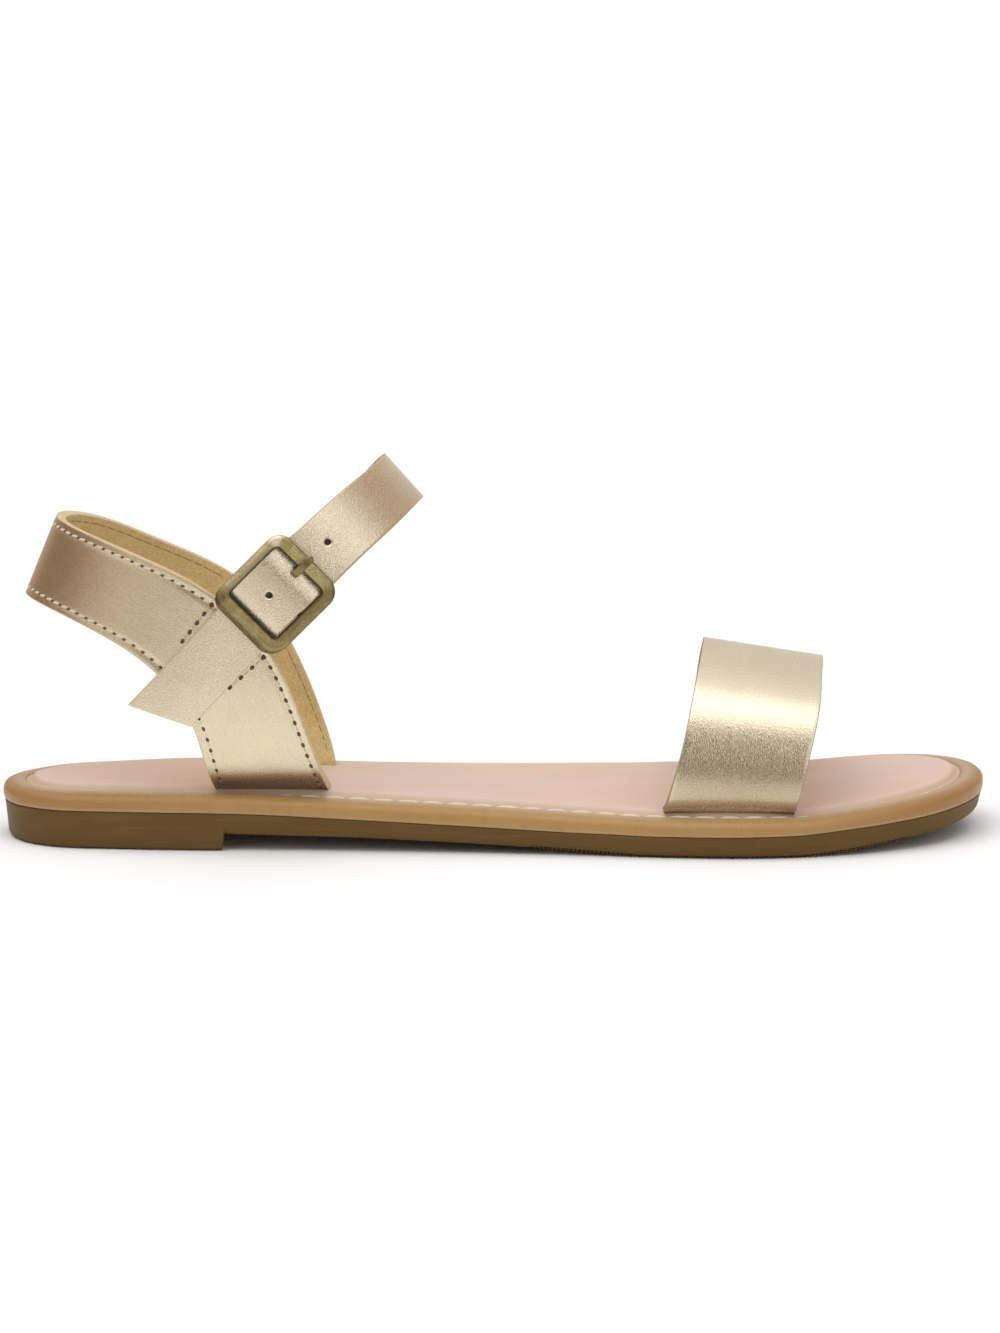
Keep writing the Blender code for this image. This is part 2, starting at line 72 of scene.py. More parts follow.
class Side(Enum):
    """The two sides of the shoe, as the sign of Y."""

    OUTER = -1.0
    INNER = 1.0


class Layer(IntEnum):
    """Order of a strap's materials: its face, its cut edge and its lining."""

    FACE = 0
    EDGE = 1
    LINING = 2


class Slot(Enum):
    """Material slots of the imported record."""

    RUBBER = "brown_rubber"
    RIM = "tan_rim"
    SOCK = "nude_sock"
    LEATHER = "gold_leather"
    BRASS = "aged_brass"


# Curves

def natural_cubic(knots: Array, values: Array, places: Array) -> Array:
    """Smooth curve through knots: cubics that meet with equal slope and bend, with no bend at the ends.

    Args:
        knots: Rising places of the knots.
        values: One row of values for each knot.
        places: Places to read the curve at.

    Returns:
        One row of values for each place.
    """
    knots = np.asarray(knots, float)
    values = np.asarray(values, float).reshape(len(knots), -1)
    step = np.diff(knots)
    rise = np.diff(values, axis=0) / step[:, None]
    matrix = np.diag(np.concatenate(([1.0], 2.0 * (step[:-1] + step[1:]), [1.0])))
    matrix += np.diag(np.append(step[:-1], 0.0), -1) + np.diag(np.append(0.0, step[1:]), 1)
    right = np.zeros_like(values)
    right[1:-1] = 6.0 * np.diff(rise, axis=0)
    bend = np.linalg.solve(matrix, right)
    i = np.clip(np.searchsorted(knots, places, side="right") - 1, 0, len(knots) - 2)
    width = step[i][:, None]
    before = (places - knots[i])[:, None]
    after = width - before
    straight = (values[i] * after + values[i + 1] * before) / width
    curved = bend[i] * (after ** 3 / width - after * width)
    curved += bend[i + 1] * (before ** 3 / width - before * width)
    return straight + curved / 6.0


def even_cubic(knots: Array, values: Array, places: Array) -> Array:
    """Cubic curve through knots that never swings past them: flat at a turn, slope limited elsewhere.

    Args:
        knots: Rising places of the knots.
        values: One value for each knot.
        places: Places to read the curve at.

    Returns:
        One value for each place.
    """
    knots = np.asarray(knots, float)
    values = np.asarray(values, float)
    step = np.diff(knots)
    rise = np.diff(values) / step
    slope = np.concatenate(([rise[0]], 0.5 * (rise[1:] + rise[:-1]), [rise[-1]]))
    slope[1:-1][rise[1:] * rise[:-1] <= 0.0] = 0.0
    limit = 3.0 * np.minimum(np.abs(np.append(rise[0], rise)), np.abs(np.append(rise, rise[-1])))
    slope = np.sign(slope) * np.minimum(np.abs(slope), limit)
    i = np.clip(np.searchsorted(knots, places, side="right") - 1, 0, len(knots) - 2)
    t = (places - knots[i]) / step[i]
    return ((1 + 2 * t) * (1 - t) ** 2 * values[i] + t * (1 - t) ** 2 * step[i] * slope[i]
            + t * t * (3 - 2 * t) * values[i + 1] + t * t * (t - 1) * step[i] * slope[i + 1])


def running_length(points: Array) -> Array:
    """Return the length of a path up to each of its points."""
    return np.append(0.0, np.cumsum(np.linalg.norm(np.diff(points, axis=0), axis=1)))


def unit(vectors: Array) -> Array:
    """Return vectors of length one."""
    return vectors / np.maximum(np.linalg.norm(vectors, axis=-1, keepdims=True), 1e-12)


def ease(low: float, high: float, value: Array) -> Array:
    """Return 0 below low, 1 above high and a smooth step between."""
    t = np.clip((value - low) / (high - low), 0.0, 1.0)
    return t * t * (3.0 - 2.0 * t)


# Meshes

@dataclass
class Shell:
    """Points with their lay and the faces between them.

    Attributes:
        points: One row of X, Y and Z for each point.
        lay: One row along, across and through the piece for each point.
        faces: One list of point numbers for each face.
        layers: Material number of each face.
    """

    points: Array
    lay: Array
    faces: list[list[int]]
    layers: Array


def grid_quads(rows: int, columns: int, wrap_rows: bool = False, wrap_columns: bool = False) -> Array:
    """Return the four point numbers of every cell of a grid, joined round where it wraps.

    Args:
        rows: Rows of points.
        columns: Points in a row.
        wrap_rows: Whether the last row joins the first.
        wrap_columns: Whether the last column joins the first.

    Returns:
        Four point numbers for each cell.
    """
    index = np.arange(rows * columns).reshape(rows, columns)
    if wrap_rows:
        index = np.vstack((index, index[:1]))
    if wrap_columns:
        index = np.hstack((index, index[:, :1]))
    cells = (index[:-1, :-1], index[1:, :-1], index[1:, 1:], index[:-1, 1:])
    return np.stack(cells, axis=-1).reshape(-1, 4)


def outward(points: Array, quads: Array) -> bool:
    """Tell whether quads face outwards: the cones from the middle to each face have a positive sum.

    Args:
        points: Points of the shape.
        quads: Four point numbers for each face.

    Returns:
        Whether the faces point outwards.
    """
    centred = points - points.mean(axis=0)
    a, b, c, d = (centred[quads[:, k]] for k in range(4))
    return float(np.sum(np.cross(b - a, c - a) * a) + np.sum(np.cross(c - a, d - a) * a)) > 0.0


def swept_shell(grid: Array, lay: Array, column_layers: Array | None = None,
                wrap_rows: bool = False) -> Shell:
    """Close a loop carried along a path: quads round and along it, and one face over each open end.

    Args:
        grid: Points, one row of the path by one column of the loop.
        lay: Lay of each point.
        column_layers: Material number of each column of the loop.
        wrap_rows: Whether the path closes on itself.

    Returns:
        The closed shell, facing outwards.
    """
    rows, columns = grid.shape[:2]
    points = grid.reshape(-1, 3)
    quads = grid_quads(rows, columns, wrap_rows, True)
    numbers = np.zeros(columns, int) if column_layers is None else column_layers
    following = np.roll(numbers, -1)
    cell = np.where(numbers == following, numbers, int(Layer.EDGE)) if column_layers is not None else numbers
    layers = np.tile(cell, rows if wrap_rows else rows - 1)
    faces = quads.tolist()
    if not wrap_rows:
        faces.append(list(range(columns)))
        faces.append(list(range((rows - 1) * columns, rows * columns))[::-1])
        end = int(Layer.EDGE) if column_layers is not None else 0
        layers = np.append(layers, (end, end))
    if not outward(points, quads):
        faces = [face[::-1] for face in faces]
    return Shell(points, lay.reshape(-1, 3), faces, layers)


def joined(shells: list[Shell]) -> Shell:
    """Put several shells into one, each with its own points.

    Args:
        shells: Shells to join.

    Returns:
        One shell.
    """
    starts = np.cumsum([0, *(len(shell.points) for shell in shells[:-1])])
    faces = [[int(start) + k for k in face] for start, shell in zip(starts, shells) for face in shell.faces]
    return Shell(np.vstack([shell.points for shell in shells]), np.vstack([shell.lay for shell in shells]),
                 faces, np.concatenate([shell.layers for shell in shells]))


def make_piece(name: str, shell: Shell, materials: list[bpy.types.Material],
               replaced: tuple[str, ...] = ()) -> bpy.types.Object:
    """Make a mesh object of a shell that rides on the shoe.

    Args:
        name: Name of the piece.
        shell: Points and faces in millimetres.
        materials: Materials in the order of the shell's layers.
        replaced: Nodes that the piece stands for.

    Returns:
        The new object.
    """
    mesh = bpy.data.meshes.new(name)
    mesh.from_pydata((shell.points * MM).tolist(), [], shell.faces)
    mesh.polygons.foreach_set("material_index", np.asarray(shell.layers, np.int32))
    lay = mesh.attributes.new("lay", "FLOAT_VECTOR", "POINT")
    lay.data.foreach_set("vector", shell.lay.astype(np.float32).ravel())
    mesh.update()
    mesh.shade_smooth()
    for material in materials:
        mesh.materials.append(material)
    piece = bpy.data.objects.new(name, mesh)
    bpy.context.scene.collection.objects.link(piece)
    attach(piece, "root")
    if replaced:
        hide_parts(*replaced)
    LOG.info("%s: %d points, %d faces", name, len(shell.points), len(shell.faces))
    return piece


# Shader nodes

class Graph:
    """Adds nodes to one shader tree and links them by socket name."""

    def __init__(self, tree: bpy.types.NodeTree) -> None:
        """Keep the tree that the nodes go into."""
        self.tree = tree

    def feed(self, socket: Socket, value: Any) -> None:
        """Link a socket to another one, or set its constant value.

        Args:
            socket: Input to feed.
            value: Another socket, or a number, vector or colour.
        """
        if isinstance(value, bpy.types.NodeSocket):
            self.tree.links.new(value, socket)
        else:
            socket.default_value = value

    def add(self, kind: str, inputs: dict[str | int, Any], **settings: Any) -> bpy.types.Node:
        """Add a node of a kind with its settings, and feed its inputs.

        Args:
            kind: Blender's name of the node type.
            inputs: Values or sockets by input name or number.
            settings: Node properties.

        Returns:
            The new node.
        """
        node = self.tree.nodes.new(kind)
        for key, value in settings.items():
            setattr(node, key, value)
        for key, value in inputs.items():
            self.feed(node.inputs[key], value)
        return node

    def lay(self, scale: Place = (1.0, 1.0, 1.0)) -> Socket:
        """Return the piece's lay, stretched by a scale."""
        source = self.add("ShaderNodeAttribute", {}, attribute_name="lay").outputs["Vector"]
        return self.vector("MULTIPLY", source, scale)

    def vector(self, operation: str, first: Any, second: Any) -> Socket:
        """Return the vector that one operation makes of two vectors."""
        return self.add("ShaderNodeVectorMath", {0: first, 1: second}, operation=operation).outputs["Vector"]

    def axes(self, vector: Socket) -> Any:
        """Return the X, Y and Z sockets of a vector."""
        return self.add("ShaderNodeSeparateXYZ", {"Vector": vector}).outputs

    def spot(self) -> Any:
        """Return the X, Y and Z sockets of a place in the object's own frame, in metres."""
        return self.axes(self.add("ShaderNodeTexCoord", {}).outputs["Object"])

    def noise(self, place: Socket, scale: Any, detail: float = 3.0, rough: float = 0.55) -> Socket:
        """Return cloudy noise from 0 to 1."""
        inputs = {"Vector": place, "Scale": scale, "Detail": detail, "Roughness": rough}
        return self.add("ShaderNodeTexNoise", inputs).outputs["Fac"]

    def math(self, operation: str, first: Any, *others: Any) -> Any:
        """Join values one after another by an operation.

        Args:
            operation: Blender's name of the operation.
            first: Value or socket to start from.
            others: Values or sockets to join to it, none for an operation on one value.

        Returns:
            The result.
        """
        result = first
        for other in others or (0.0,):
            result = self.add("ShaderNodeMath", {0: result, 1: other}, operation=operation).outputs["Value"]
        return result

    def span(self, value: Any, low: float, high: float, to_low: float = 0.0, to_high: float = 1.0) -> Socket:
        """Return a value carried smoothly from one span to another, held at its ends."""
        inputs = {"Value": value, "From Min": low, "From Max": high, "To Min": to_low, "To Max": to_high}
        return self.add("ShaderNodeMapRange", inputs, interpolation_type="SMOOTHSTEP").outputs["Result"]

    def mix(self, share: Any, first: Any, second: Any, blend: str = "MIX") -> Socket:
        """Return two colours mixed by a share."""
        inputs = {0: share, 6: rgba(first), 7: rgba(second)}
        return self.add("ShaderNodeMix", inputs, data_type="RGBA", blend_type=blend).outputs[2]

    def bump(self, height: Any, distance: float) -> Socket:
        """Return a normal tilted by a height, its distance in millimetres."""
        inputs = {"Height": height, "Distance": distance * MM, "Strength": 1.0}
        return self.add("ShaderNodeBump", inputs).outputs["Normal"]


def rgba(colour: Any) -> Any:
    """Return a colour with full cover, or the socket that was given."""
    return (*colour, 1.0) if isinstance(colour, tuple) else colour


class Effects:
    """Effects that several finishes share, each built once as a node group."""

    WARP = (0.35, 0.35, 0.35)
    UNEVEN = 0.9
    PEBBLE_RADIUS = 0.32
    PEBBLE_HEIGHT = 0.7
    FINE_GRAIN: Cloud = (3.0, 1.0, 0.5)
    FINE_HEIGHT = 0.6
    SPECKS: Cloud = (3.0, 3.0, 0.7)
    SPECK_SHARE = 0.35
    MEAN_TONE = 0.675

    def __init__(self) -> None:
        """Build the groups."""
        self.grain = self.grain_group()
        self.drift = self.drift_group()

    @staticmethod
    def new_group(name: str, inputs: dict[str, str], outputs: dict[str, str]) -> tuple[Any, Graph, Any, Any]:
        """Start a node group with named sockets.

        Args:
            name: Name of the group.
            inputs: Socket type by input name.
            outputs: Socket type by output name.

        Returns:
            The group, its graph, its inputs and its outputs.
        """
        tree = bpy.data.node_groups.new(name, "ShaderNodeTree")
        for direction, sockets in (("INPUT", inputs), ("OUTPUT", outputs)):
            for label, kind in sockets.items():
                tree.interface.new_socket(label, in_out=direction, socket_type=f"NodeSocket{kind}")
        graph = Graph(tree)
        source = graph.add("NodeGroupInput", {}).outputs
        target = graph.add("NodeGroupOutput", {}).inputs
        return tree, graph, source, target

    def grain_group(self) -> bpy.types.NodeTree:
        """Leather grain: rounded pebbles of uneven size with fine creases between them, warped by noise.

        Returns:
            The group, which gives the height of the grain and the depth of its creases.
        """
        tree, graph, source, target = self.new_group(
            "pebble_grain", {"Place": "Vector", "Scale": "Float"}, {"Height": "Float", "Crease": "Float"})
        place, scale = source["Place"], source["Scale"]
        warp = graph.add("ShaderNodeTexNoise", {"Vector": place, "Scale": scale, "Detail": 2.0})
        warped = graph.vector("ADD", place, graph.vector("MULTIPLY", warp.outputs["Color"], self.WARP))
        values = {"Vector": warped, "Scale": scale, "Randomness": self.UNEVEN}
        cells = graph.add("ShaderNodeTexVoronoi", values, feature="DISTANCE_TO_EDGE")
        pebble = graph.span(cells.outputs["Distance"], 0.0, self.PEBBLE_RADIUS)
        fine = graph.noise(place, *self.FINE_GRAIN)
        height = graph.math("ADD", graph.math("MULTIPLY", pebble, self.PEBBLE_HEIGHT),
                            graph.math("MULTIPLY", fine, self.FINE_HEIGHT))
        graph.feed(target["Height"], height)
        graph.feed(target["Crease"], graph.math("SUBTRACT", 1.0, pebble))
        return tree

    def drift_group(self) -> bpy.types.NodeTree:
        """Slow drift of tone: a colour made lighter and darker by broad clouds and fine specks.

        Returns:
            The group, which gives the changed colour.
        """
        tree, graph, source, target = self.new_group(
            "tone_drift", {"Place": "Vector", "Scale": "Float", "Amount": "Float", "Colour": "Color"},
            {"Colour": "Color"})
        clouds = graph.add("ShaderNodeTexNoise",
                           {"Vector": source["Place"], "Scale": source["Scale"], "Detail": 4.0})
        specks = graph.noise(source["Place"], *self.SPECKS)
        both = graph.math("ADD", clouds.outputs["Fac"], graph.math("MULTIPLY", specks, self.SPECK_SHARE))
        swing = graph.math("MULTIPLY", graph.math("SUBTRACT", both, self.MEAN_TONE), source["Amount"])
        gain = graph.math("ADD", 1.0, swing)
        grey = graph.add("ShaderNodeCombineColor", {"Red": gain, "Green": gain, "Blue": gain})
        graph.feed(target["Colour"], graph.mix(1.0, source["Colour"], grey.outputs["Color"], "MULTIPLY"))
        return tree

    def grained(self, graph: Graph, cells: float, place: Socket | None = None) -> Any:
        """Put the grain into a material.

        Args:
            graph: Graph of the material.
            cells: Grain cells per millimetre.
            place: Where the grain is read, the piece's lay if it isn't given.

        Returns:
            The outputs Height and Crease.
        """
        node = graph.add("ShaderNodeGroup", {}, node_tree=self.grain)
        graph.feed(node.inputs["Place"], graph.lay() if place is None else place)
        graph.feed(node.inputs["Scale"], cells)
        return node.outputs

    def drifted(self, graph: Graph, tone: Socket, drift: Pair, place: Socket | None = None) -> Socket:
        """Put the drift of tone into a material.

        Args:
            graph: Graph of the material.
            tone: Colour that drifts.
            drift: Clouds per millimetre and how far they swing.
            place: Where the clouds are read, the piece's lay if it isn't given.

        Returns:
            The drifting colour.
        """
        node = graph.add("ShaderNodeGroup", {}, node_tree=self.drift)
        spot = graph.lay() if place is None else place
        values = {"Place": spot, "Scale": drift[0], "Amount": drift[1], "Colour": tone}
        for key, value in values.items():
            graph.feed(node.inputs[key], value)
        return node.outputs["Colour"]


# Finishes

@dataclass(frozen=True)
class Finish:
    """What every finish shares, and how its fields are named.

    A field that ends in lay stretches a pattern over the lay. A Cloud is a noise's scale, detail and
    roughness. A Span is two limits and what they become: one that ends in tone says how a pattern shows in
    the colour, one that ends in rough how it shows in the gloss. drift is clouds per millimetre and how far
    they swing the tone, cells is grain cells per millimetre, and depth is the height of the bump.
    """

    name: str

    def material(self, effects: Effects) -> bpy.types.Material:
        """Make the material of the finish.

        Args:
            effects: Shared node groups.

        Returns:
            The new material.
        """
        material = bpy.data.materials.new(self.name)
        material.use_nodes = True
        graph = Graph(material.node_tree)
        shader = material.node_tree.nodes["Principled BSDF"]
        for socket, value in self.looks(graph, effects).items():
            graph.feed(shader.inputs[socket], value)
        return material

    def looks(self, graph: Graph, effects: Effects) -> Looks:
        """Return what the shader's sockets get, by name."""
        raise NotImplementedError


@dataclass(frozen=True)
class GoldLeather(Finish):
    """Metallic coated leather with fine grain, drawn out along the strap.

    Attributes:
        draw: How far the grain is drawn out along the strap.
        holes: Punched holes as places along and across the strap, painted dark inside as their shade.
        worn_and_shaded_bends: Cross creases, darkened by wear and by painted shade of the bend, as place
            along, reach and strength.
    """

    colour: Colour = (0.76, 0.66, 0.49)
    deep: Colour = (0.60, 0.505, 0.36)
    # Painted shade near the sole, where the strap curls under: this darker colour, at up to the strength
    # below, fades out between the two heights in foot.
    painted_base_shade: Colour = (0.16, 0.10, 0.045)
    worn: Colour = (0.36, 0.27, 0.17)
    # Painted shade inside the punched holes.
    pit: Colour = (0.035, 0.02, 0.01)
    metallic: float = 0.92
    roughness: float = 0.24
    specular: float = 0.45
    cells: float = 2.3
    draw: float = 0.6
    depth: float = 0.034
    crease: Span = (0.45, 1.0, 0.0, 0.3)
    crease_rough: float = 0.25
    drift: Pair = (0.09, 0.16)
    streak_lay: Place = (0.25, 2.2, 1.0)
    streak: Cloud = (1.1, 3.0, 0.6)
    streak_rough: Span = (0.3, 0.7, -0.03, 0.04)
    streak_height: float = 0.2
    foot: Pair = (10.0, 12.0)
    painted_base_shade_strength: float = 0.75
    holes: Table = ()
    hole_radius: float = 0.75
    hole_blur: float = 0.12
    hole_drop: float = 9.0
    worn_and_shaded_bends: Table = ()
    wander: float = 1.2

    def looks(self, graph: Graph, effects: Effects) -> Looks:
        """Grain height, creases deeper in colour, painted shade near the sole, creases darkened by wear and
        painted shade, and painted shade inside the punched holes.

        Args:
            graph: Graph of the material.
            effects: Shared node groups.

        Returns:
            What the shader's sockets get.
        """
        place = graph.lay((self.draw, 1.0, 1.0))
        grain = effects.grained(graph, self.cells, place)
        crease = graph.span(grain["Crease"], *self.crease)
        coat = graph.mix(crease, self.colour, self.deep)
        # Painted shade: the leather darkens towards the sole, below the heights in foot.
        low, high = (height * MM for height in self.foot)
        coat = graph.mix(graph.span(graph.spot()["Z"], low, high, self.painted_base_shade_strength, 0.0), coat, self.painted_base_shade)
        # Wear and painted shade: the leather darkens across the strap where it bends, most over the hinge
        # bar.
        if self.worn_and_shaded_bends:
            coat = graph.mix(self.bend_wear_and_shade(graph), coat, self.worn)
        coat = effects.drifted(graph, coat, self.drift, place)
        streak = graph.noise(graph.lay(self.streak_lay), *self.streak)
        rough = graph.math("ADD", graph.span(streak, *self.streak_rough), self.roughness,
                           graph.math("MULTIPLY", crease, self.crease_rough))
        height = graph.math("ADD", grain["Height"], graph.math("MULTIPLY", streak, self.streak_height))
        metal: Any = self.metallic
        # Painted shade: inside the punched holes the leather turns dark and loses its metal.
        if self.holes:
            hole = self.hole_mask(graph)
            coat = graph.mix(hole, coat, self.pit)
            height = graph.math("SUBTRACT", height, graph.math("MULTIPLY", hole, self.hole_drop))
            metal = graph.math("MULTIPLY", graph.math("SUBTRACT", 1.0, hole), self.metallic)
        return {"Base Color": coat, "Metallic": metal, "Roughness": rough,
                "Normal": graph.bump(height, self.depth), "Specular IOR Level": self.specular}

    def bend_wear_and_shade(self, graph: Graph) -> Any:
        """Strength of the nearest cross crease, darkened as wear and as painted shade of the bend: it fades
        with the distance along the strap.

        Args:
            graph: Graph of the material.

        Returns:
            The mask.
        """
        stray = graph.math("SUBTRACT", graph.noise(graph.lay(), 0.15, 1.0), 0.5)
        along = graph.math("ADD", graph.axes(graph.lay())["X"], graph.math("MULTIPLY", stray, self.wander))
        strongest: Any = 0.0
        for place, reach, strength in self.worn_and_shaded_bends:
            away = graph.math("ABSOLUTE", graph.math("SUBTRACT", along, place))
            strongest = graph.math("MAXIMUM", strongest, graph.span(away, 0.0, reach, strength, 0.0))
        return strongest

    def hole_mask(self, graph: Graph) -> Socket:
        """Mask of the punched holes, where their painted shade goes: 1 where the nearest hole centre is
        closer than the radius.

        Args:
            graph: Graph of the material.

        Returns:
            The mask.
        """
        flat = graph.lay((1.0, 1.0, 0.0))
        nearest: Any = 100.0
        for along, across in self.holes:
            away = graph.add("ShaderNodeVectorMath", {0: flat, 1: (along, across, 0.0)}, operation="DISTANCE")
            nearest = graph.math("MINIMUM", nearest, away.outputs["Value"])
        low, high = self.hole_radius - self.hole_blur, self.hole_radius + self.hole_blur
        return graph.span(nearest, low, high, 1.0, 0.0)


@dataclass(frozen=True)
class CutEdge(Finish):
    """Cut edge of a strap: pale core with fine fibres along it."""

    colour: Colour = (0.72, 0.55, 0.33)
    dark: Colour = (0.50, 0.34, 0.17)
    roughness: float = 0.75
    fibre_lay: Place = (0.5, 3.0, 4.0)
    fibre: Cloud = (1.4, 4.0, 0.65)
    fibre_tone: Span = (0.35, 0.75, 0.0, 0.7)
    drift: Pair = (0.12, 0.2)
    depth: float = 0.12

    def looks(self, graph: Graph, effects: Effects) -> Looks:
        """Fibres drawn out along the edge, in colour and in height.

        Args:
            graph: Graph of the material.
            effects: Shared node groups.

        Returns:
            What the shader's sockets get.
        """
        fibre = graph.noise(graph.lay(self.fibre_lay), *self.fibre)
        tone = graph.mix(graph.span(fibre, *self.fibre_tone), self.colour, self.dark)
        return {"Base Color": effects.drifted(graph, tone, self.drift), "Roughness": self.roughness,
                "Normal": graph.bump(fibre, self.depth)}


@dataclass(frozen=True)
class Lining(Finish):
    """Brushed lining: matt tan nap with fine light specks."""

    colour: Colour = (0.55, 0.39, 0.16)
    light: Colour = (0.76, 0.585, 0.28)
    roughness: float = 0.9
    sheen: float = 0.2
    nap: Cloud = (2.6, 5.0, 0.75)
    nap_tone: Span = (0.42, 0.68, 0.0, 1.0)
    drift: Pair = (0.15, 0.3)
    depth: float = 0.15

    def looks(self, graph: Graph, effects: Effects) -> Looks:
        """Specks of lighter nap over a drifting tan, with a soft sheen.

        Args:
            graph: Graph of the material.
            effects: Shared node groups.

        Returns:
            What the shader's sockets get.
        """
        nap = graph.noise(graph.lay(), *self.nap)
        tone = graph.mix(graph.span(nap, *self.nap_tone), self.colour, self.light)
        return {"Base Color": effects.drifted(graph, tone, self.drift), "Roughness": self.roughness,
                "Sheen Weight": self.sheen, "Normal": graph.bump(nap, self.depth)}


@dataclass(frozen=True)
class WrappedRim(Finish):
    """Smooth tan wrap of the rim: soft gloss, faint cross streaks where it was drawn round."""

    colour: Colour = (0.42, 0.25, 0.083)
    warm: Colour = (0.425, 0.23, 0.073)
    ends: Colour = (0.365, 0.187, 0.059)
    top: Colour = (0.455, 0.305, 0.172)
    # Colour of the painted highlight along the rim's lower edge, where it faces the floor.
    lip: Colour = (0.47, 0.32, 0.155)
    dark: Colour = (0.30, 0.165, 0.06)
    roughness: float = 0.42
    cloud_lay: Place = (0.04, 0.08, 1.0)
    cloud_tone: Span = (0.35, 0.65, 0.0, 1.0)
    end_tone: Span = (0.06, 0.11, 0.0, 0.95)
    top_tone: Span = (12.3, 14.8, 0.0, 1.0)
    lower_edge_highlight_start: Span = (6.9, 7.3, 0.0, 1.0)
    lower_edge_highlight_end: Span = (7.6, 8.4, 0.8, 0.0)
    streak_lay: Place = (0.9, 0.06, 0.06)
    streak: Cloud = (1.0, 4.0, 0.6)
    streak_tone: Span = (0.45, 0.75, 0.0, 0.25)
    streak_rough: Span = (0.3, 0.7, -0.04, 0.08)
    streak_height: float = 2.5
    drift: Pair = (0.05, 0.15)
    cells: float = 2.2
    depth: float = 0.02
    specular: float = 0.35
    coat: float = 0.1
    coat_rough: float = 0.3

    def looks(self, graph: Graph, effects: Effects) -> Looks:
        """Warm clouds, darker ends, a painted highlight along the lower edge, a pale top, streaks across the
        rim and a fine grain.

        Args:
            graph: Graph of the material.
            effects: Shared node groups.

        Returns:
            What the shader's sockets get.
        """
        cloud = graph.noise(graph.lay(self.cloud_lay), 1.0)
        tone = graph.mix(graph.span(cloud, *self.cloud_tone), self.colour, self.warm)
        off_middle = graph.math("ABSOLUTE", graph.spot()["X"])
        tone = graph.mix(graph.span(off_middle, *self.end_tone), tone, self.ends)
        around = graph.axes(graph.lay())["Y"]
        tone = graph.mix(graph.span(around, *self.top_tone), tone, self.top)
        # Painted highlight: a pale line along the rim's lower edge.
        lip = graph.math("MULTIPLY", graph.span(around, *self.lower_edge_highlight_start), graph.span(around, *self.lower_edge_highlight_end))
        tone = graph.mix(lip, tone, self.lip)
        streak = graph.noise(graph.lay(self.streak_lay), *self.streak)
        tone = graph.mix(graph.span(streak, *self.streak_tone), tone, self.dark)
        grain = effects.grained(graph, self.cells)["Height"]
        height = graph.math("ADD", grain, graph.math("MULTIPLY", streak, self.streak_height))
        rough = graph.math("ADD", self.roughness, graph.span(streak, *self.streak_rough))
        return {"Base Color": effects.drifted(graph, tone, self.drift), "Roughness": rough,
                "Normal": graph.bump(height, self.depth), "Specular IOR Level": self.specular,
                "Coat Weight": self.coat, "Coat Roughness": self.coat_rough}


@dataclass(frozen=True)
class NudeSock(Finish):
    """Padded footbed cover: matt nude leather cloth with a soft grain."""

    colour: Colour = (0.70, 0.527, 0.442)
    warm: Colour = (0.71, 0.508, 0.405)
    border: Colour = (0.56, 0.385, 0.25)
    roughness: float = 0.55
    cloud_lay: Place = (0.025, 0.05, 0.02)
    cloud_tone: Span = (0.35, 0.7, 0.0, 1.0)
    cloud_rough: Span = (0.3, 0.7, -0.06, 0.08)
    border_tone: Span = (6.9, 9.0, 0.8, 0.0)
    drift: Pair = (0.06, 0.1)
    cells: float = 1.5
    depth: float = 0.03

    def looks(self, graph: Graph, effects: Effects) -> Looks:
        """Broad warm clouds, a darker border, fine grain and a faint unevenness of gloss.

        Args:
            graph: Graph of the material.
            effects: Shared node groups.

        Returns:
            What the shader's sockets get.
        """
        cloud = graph.noise(graph.lay(self.cloud_lay), 1.0)
        tone = graph.mix(graph.span(cloud, *self.cloud_tone), self.colour, self.warm)
        tone = graph.mix(graph.span(graph.axes(graph.lay())["Z"], *self.border_tone), tone, self.border)
        rough = graph.math("ADD", self.roughness, graph.span(cloud, *self.cloud_rough))
        grain = effects.grained(graph, self.cells)["Height"]
        return {"Base Color": effects.drifted(graph, tone, self.drift), "Roughness": rough,
                "Normal": graph.bump(grain, self.depth)}


@dataclass(frozen=True)
class BrownRubber(Finish):
    """Moulded rubber: satin brown with faint flow marks and fine pits."""

    colour: Colour = (0.129, 0.070, 0.016)
    worn: Colour = (0.160, 0.092, 0.026)
    roughness: float = 0.5
    specular: float = 0.2
    flow_lay: Place = (0.05, 0.6, 1.0)
    flow: Cloud = (1.0, 4.0, 0.6)
    flow_tone: Span = (0.4, 0.75, 0.0, 0.7)
    pits: Cloud = (2.0, 4.0, 0.7)
    pit_rough: Span = (0.3, 0.7, -0.07, 0.1)
    drift: Pair = (0.07, 0.22)
    depth: float = 0.05

    def looks(self, graph: Graph, effects: Effects) -> Looks:
        """Flow marks along the wall, fine pits and a drifting tone.

        Args:
            graph: Graph of the material.
            effects: Shared node groups.

        Returns:
            What the shader's sockets get.
        """
        flow = graph.noise(graph.lay(self.flow_lay), *self.flow)
        tone = graph.mix(graph.span(flow, *self.flow_tone), self.colour, self.worn)
        pits = graph.noise(graph.lay(), *self.pits)
        rough = graph.math("ADD", self.roughness, graph.span(pits, *self.pit_rough))
        return {"Base Color": effects.drifted(graph, tone, self.drift), "Roughness": rough,
                "Normal": graph.bump(pits, self.depth), "Specular IOR Level": self.specular}


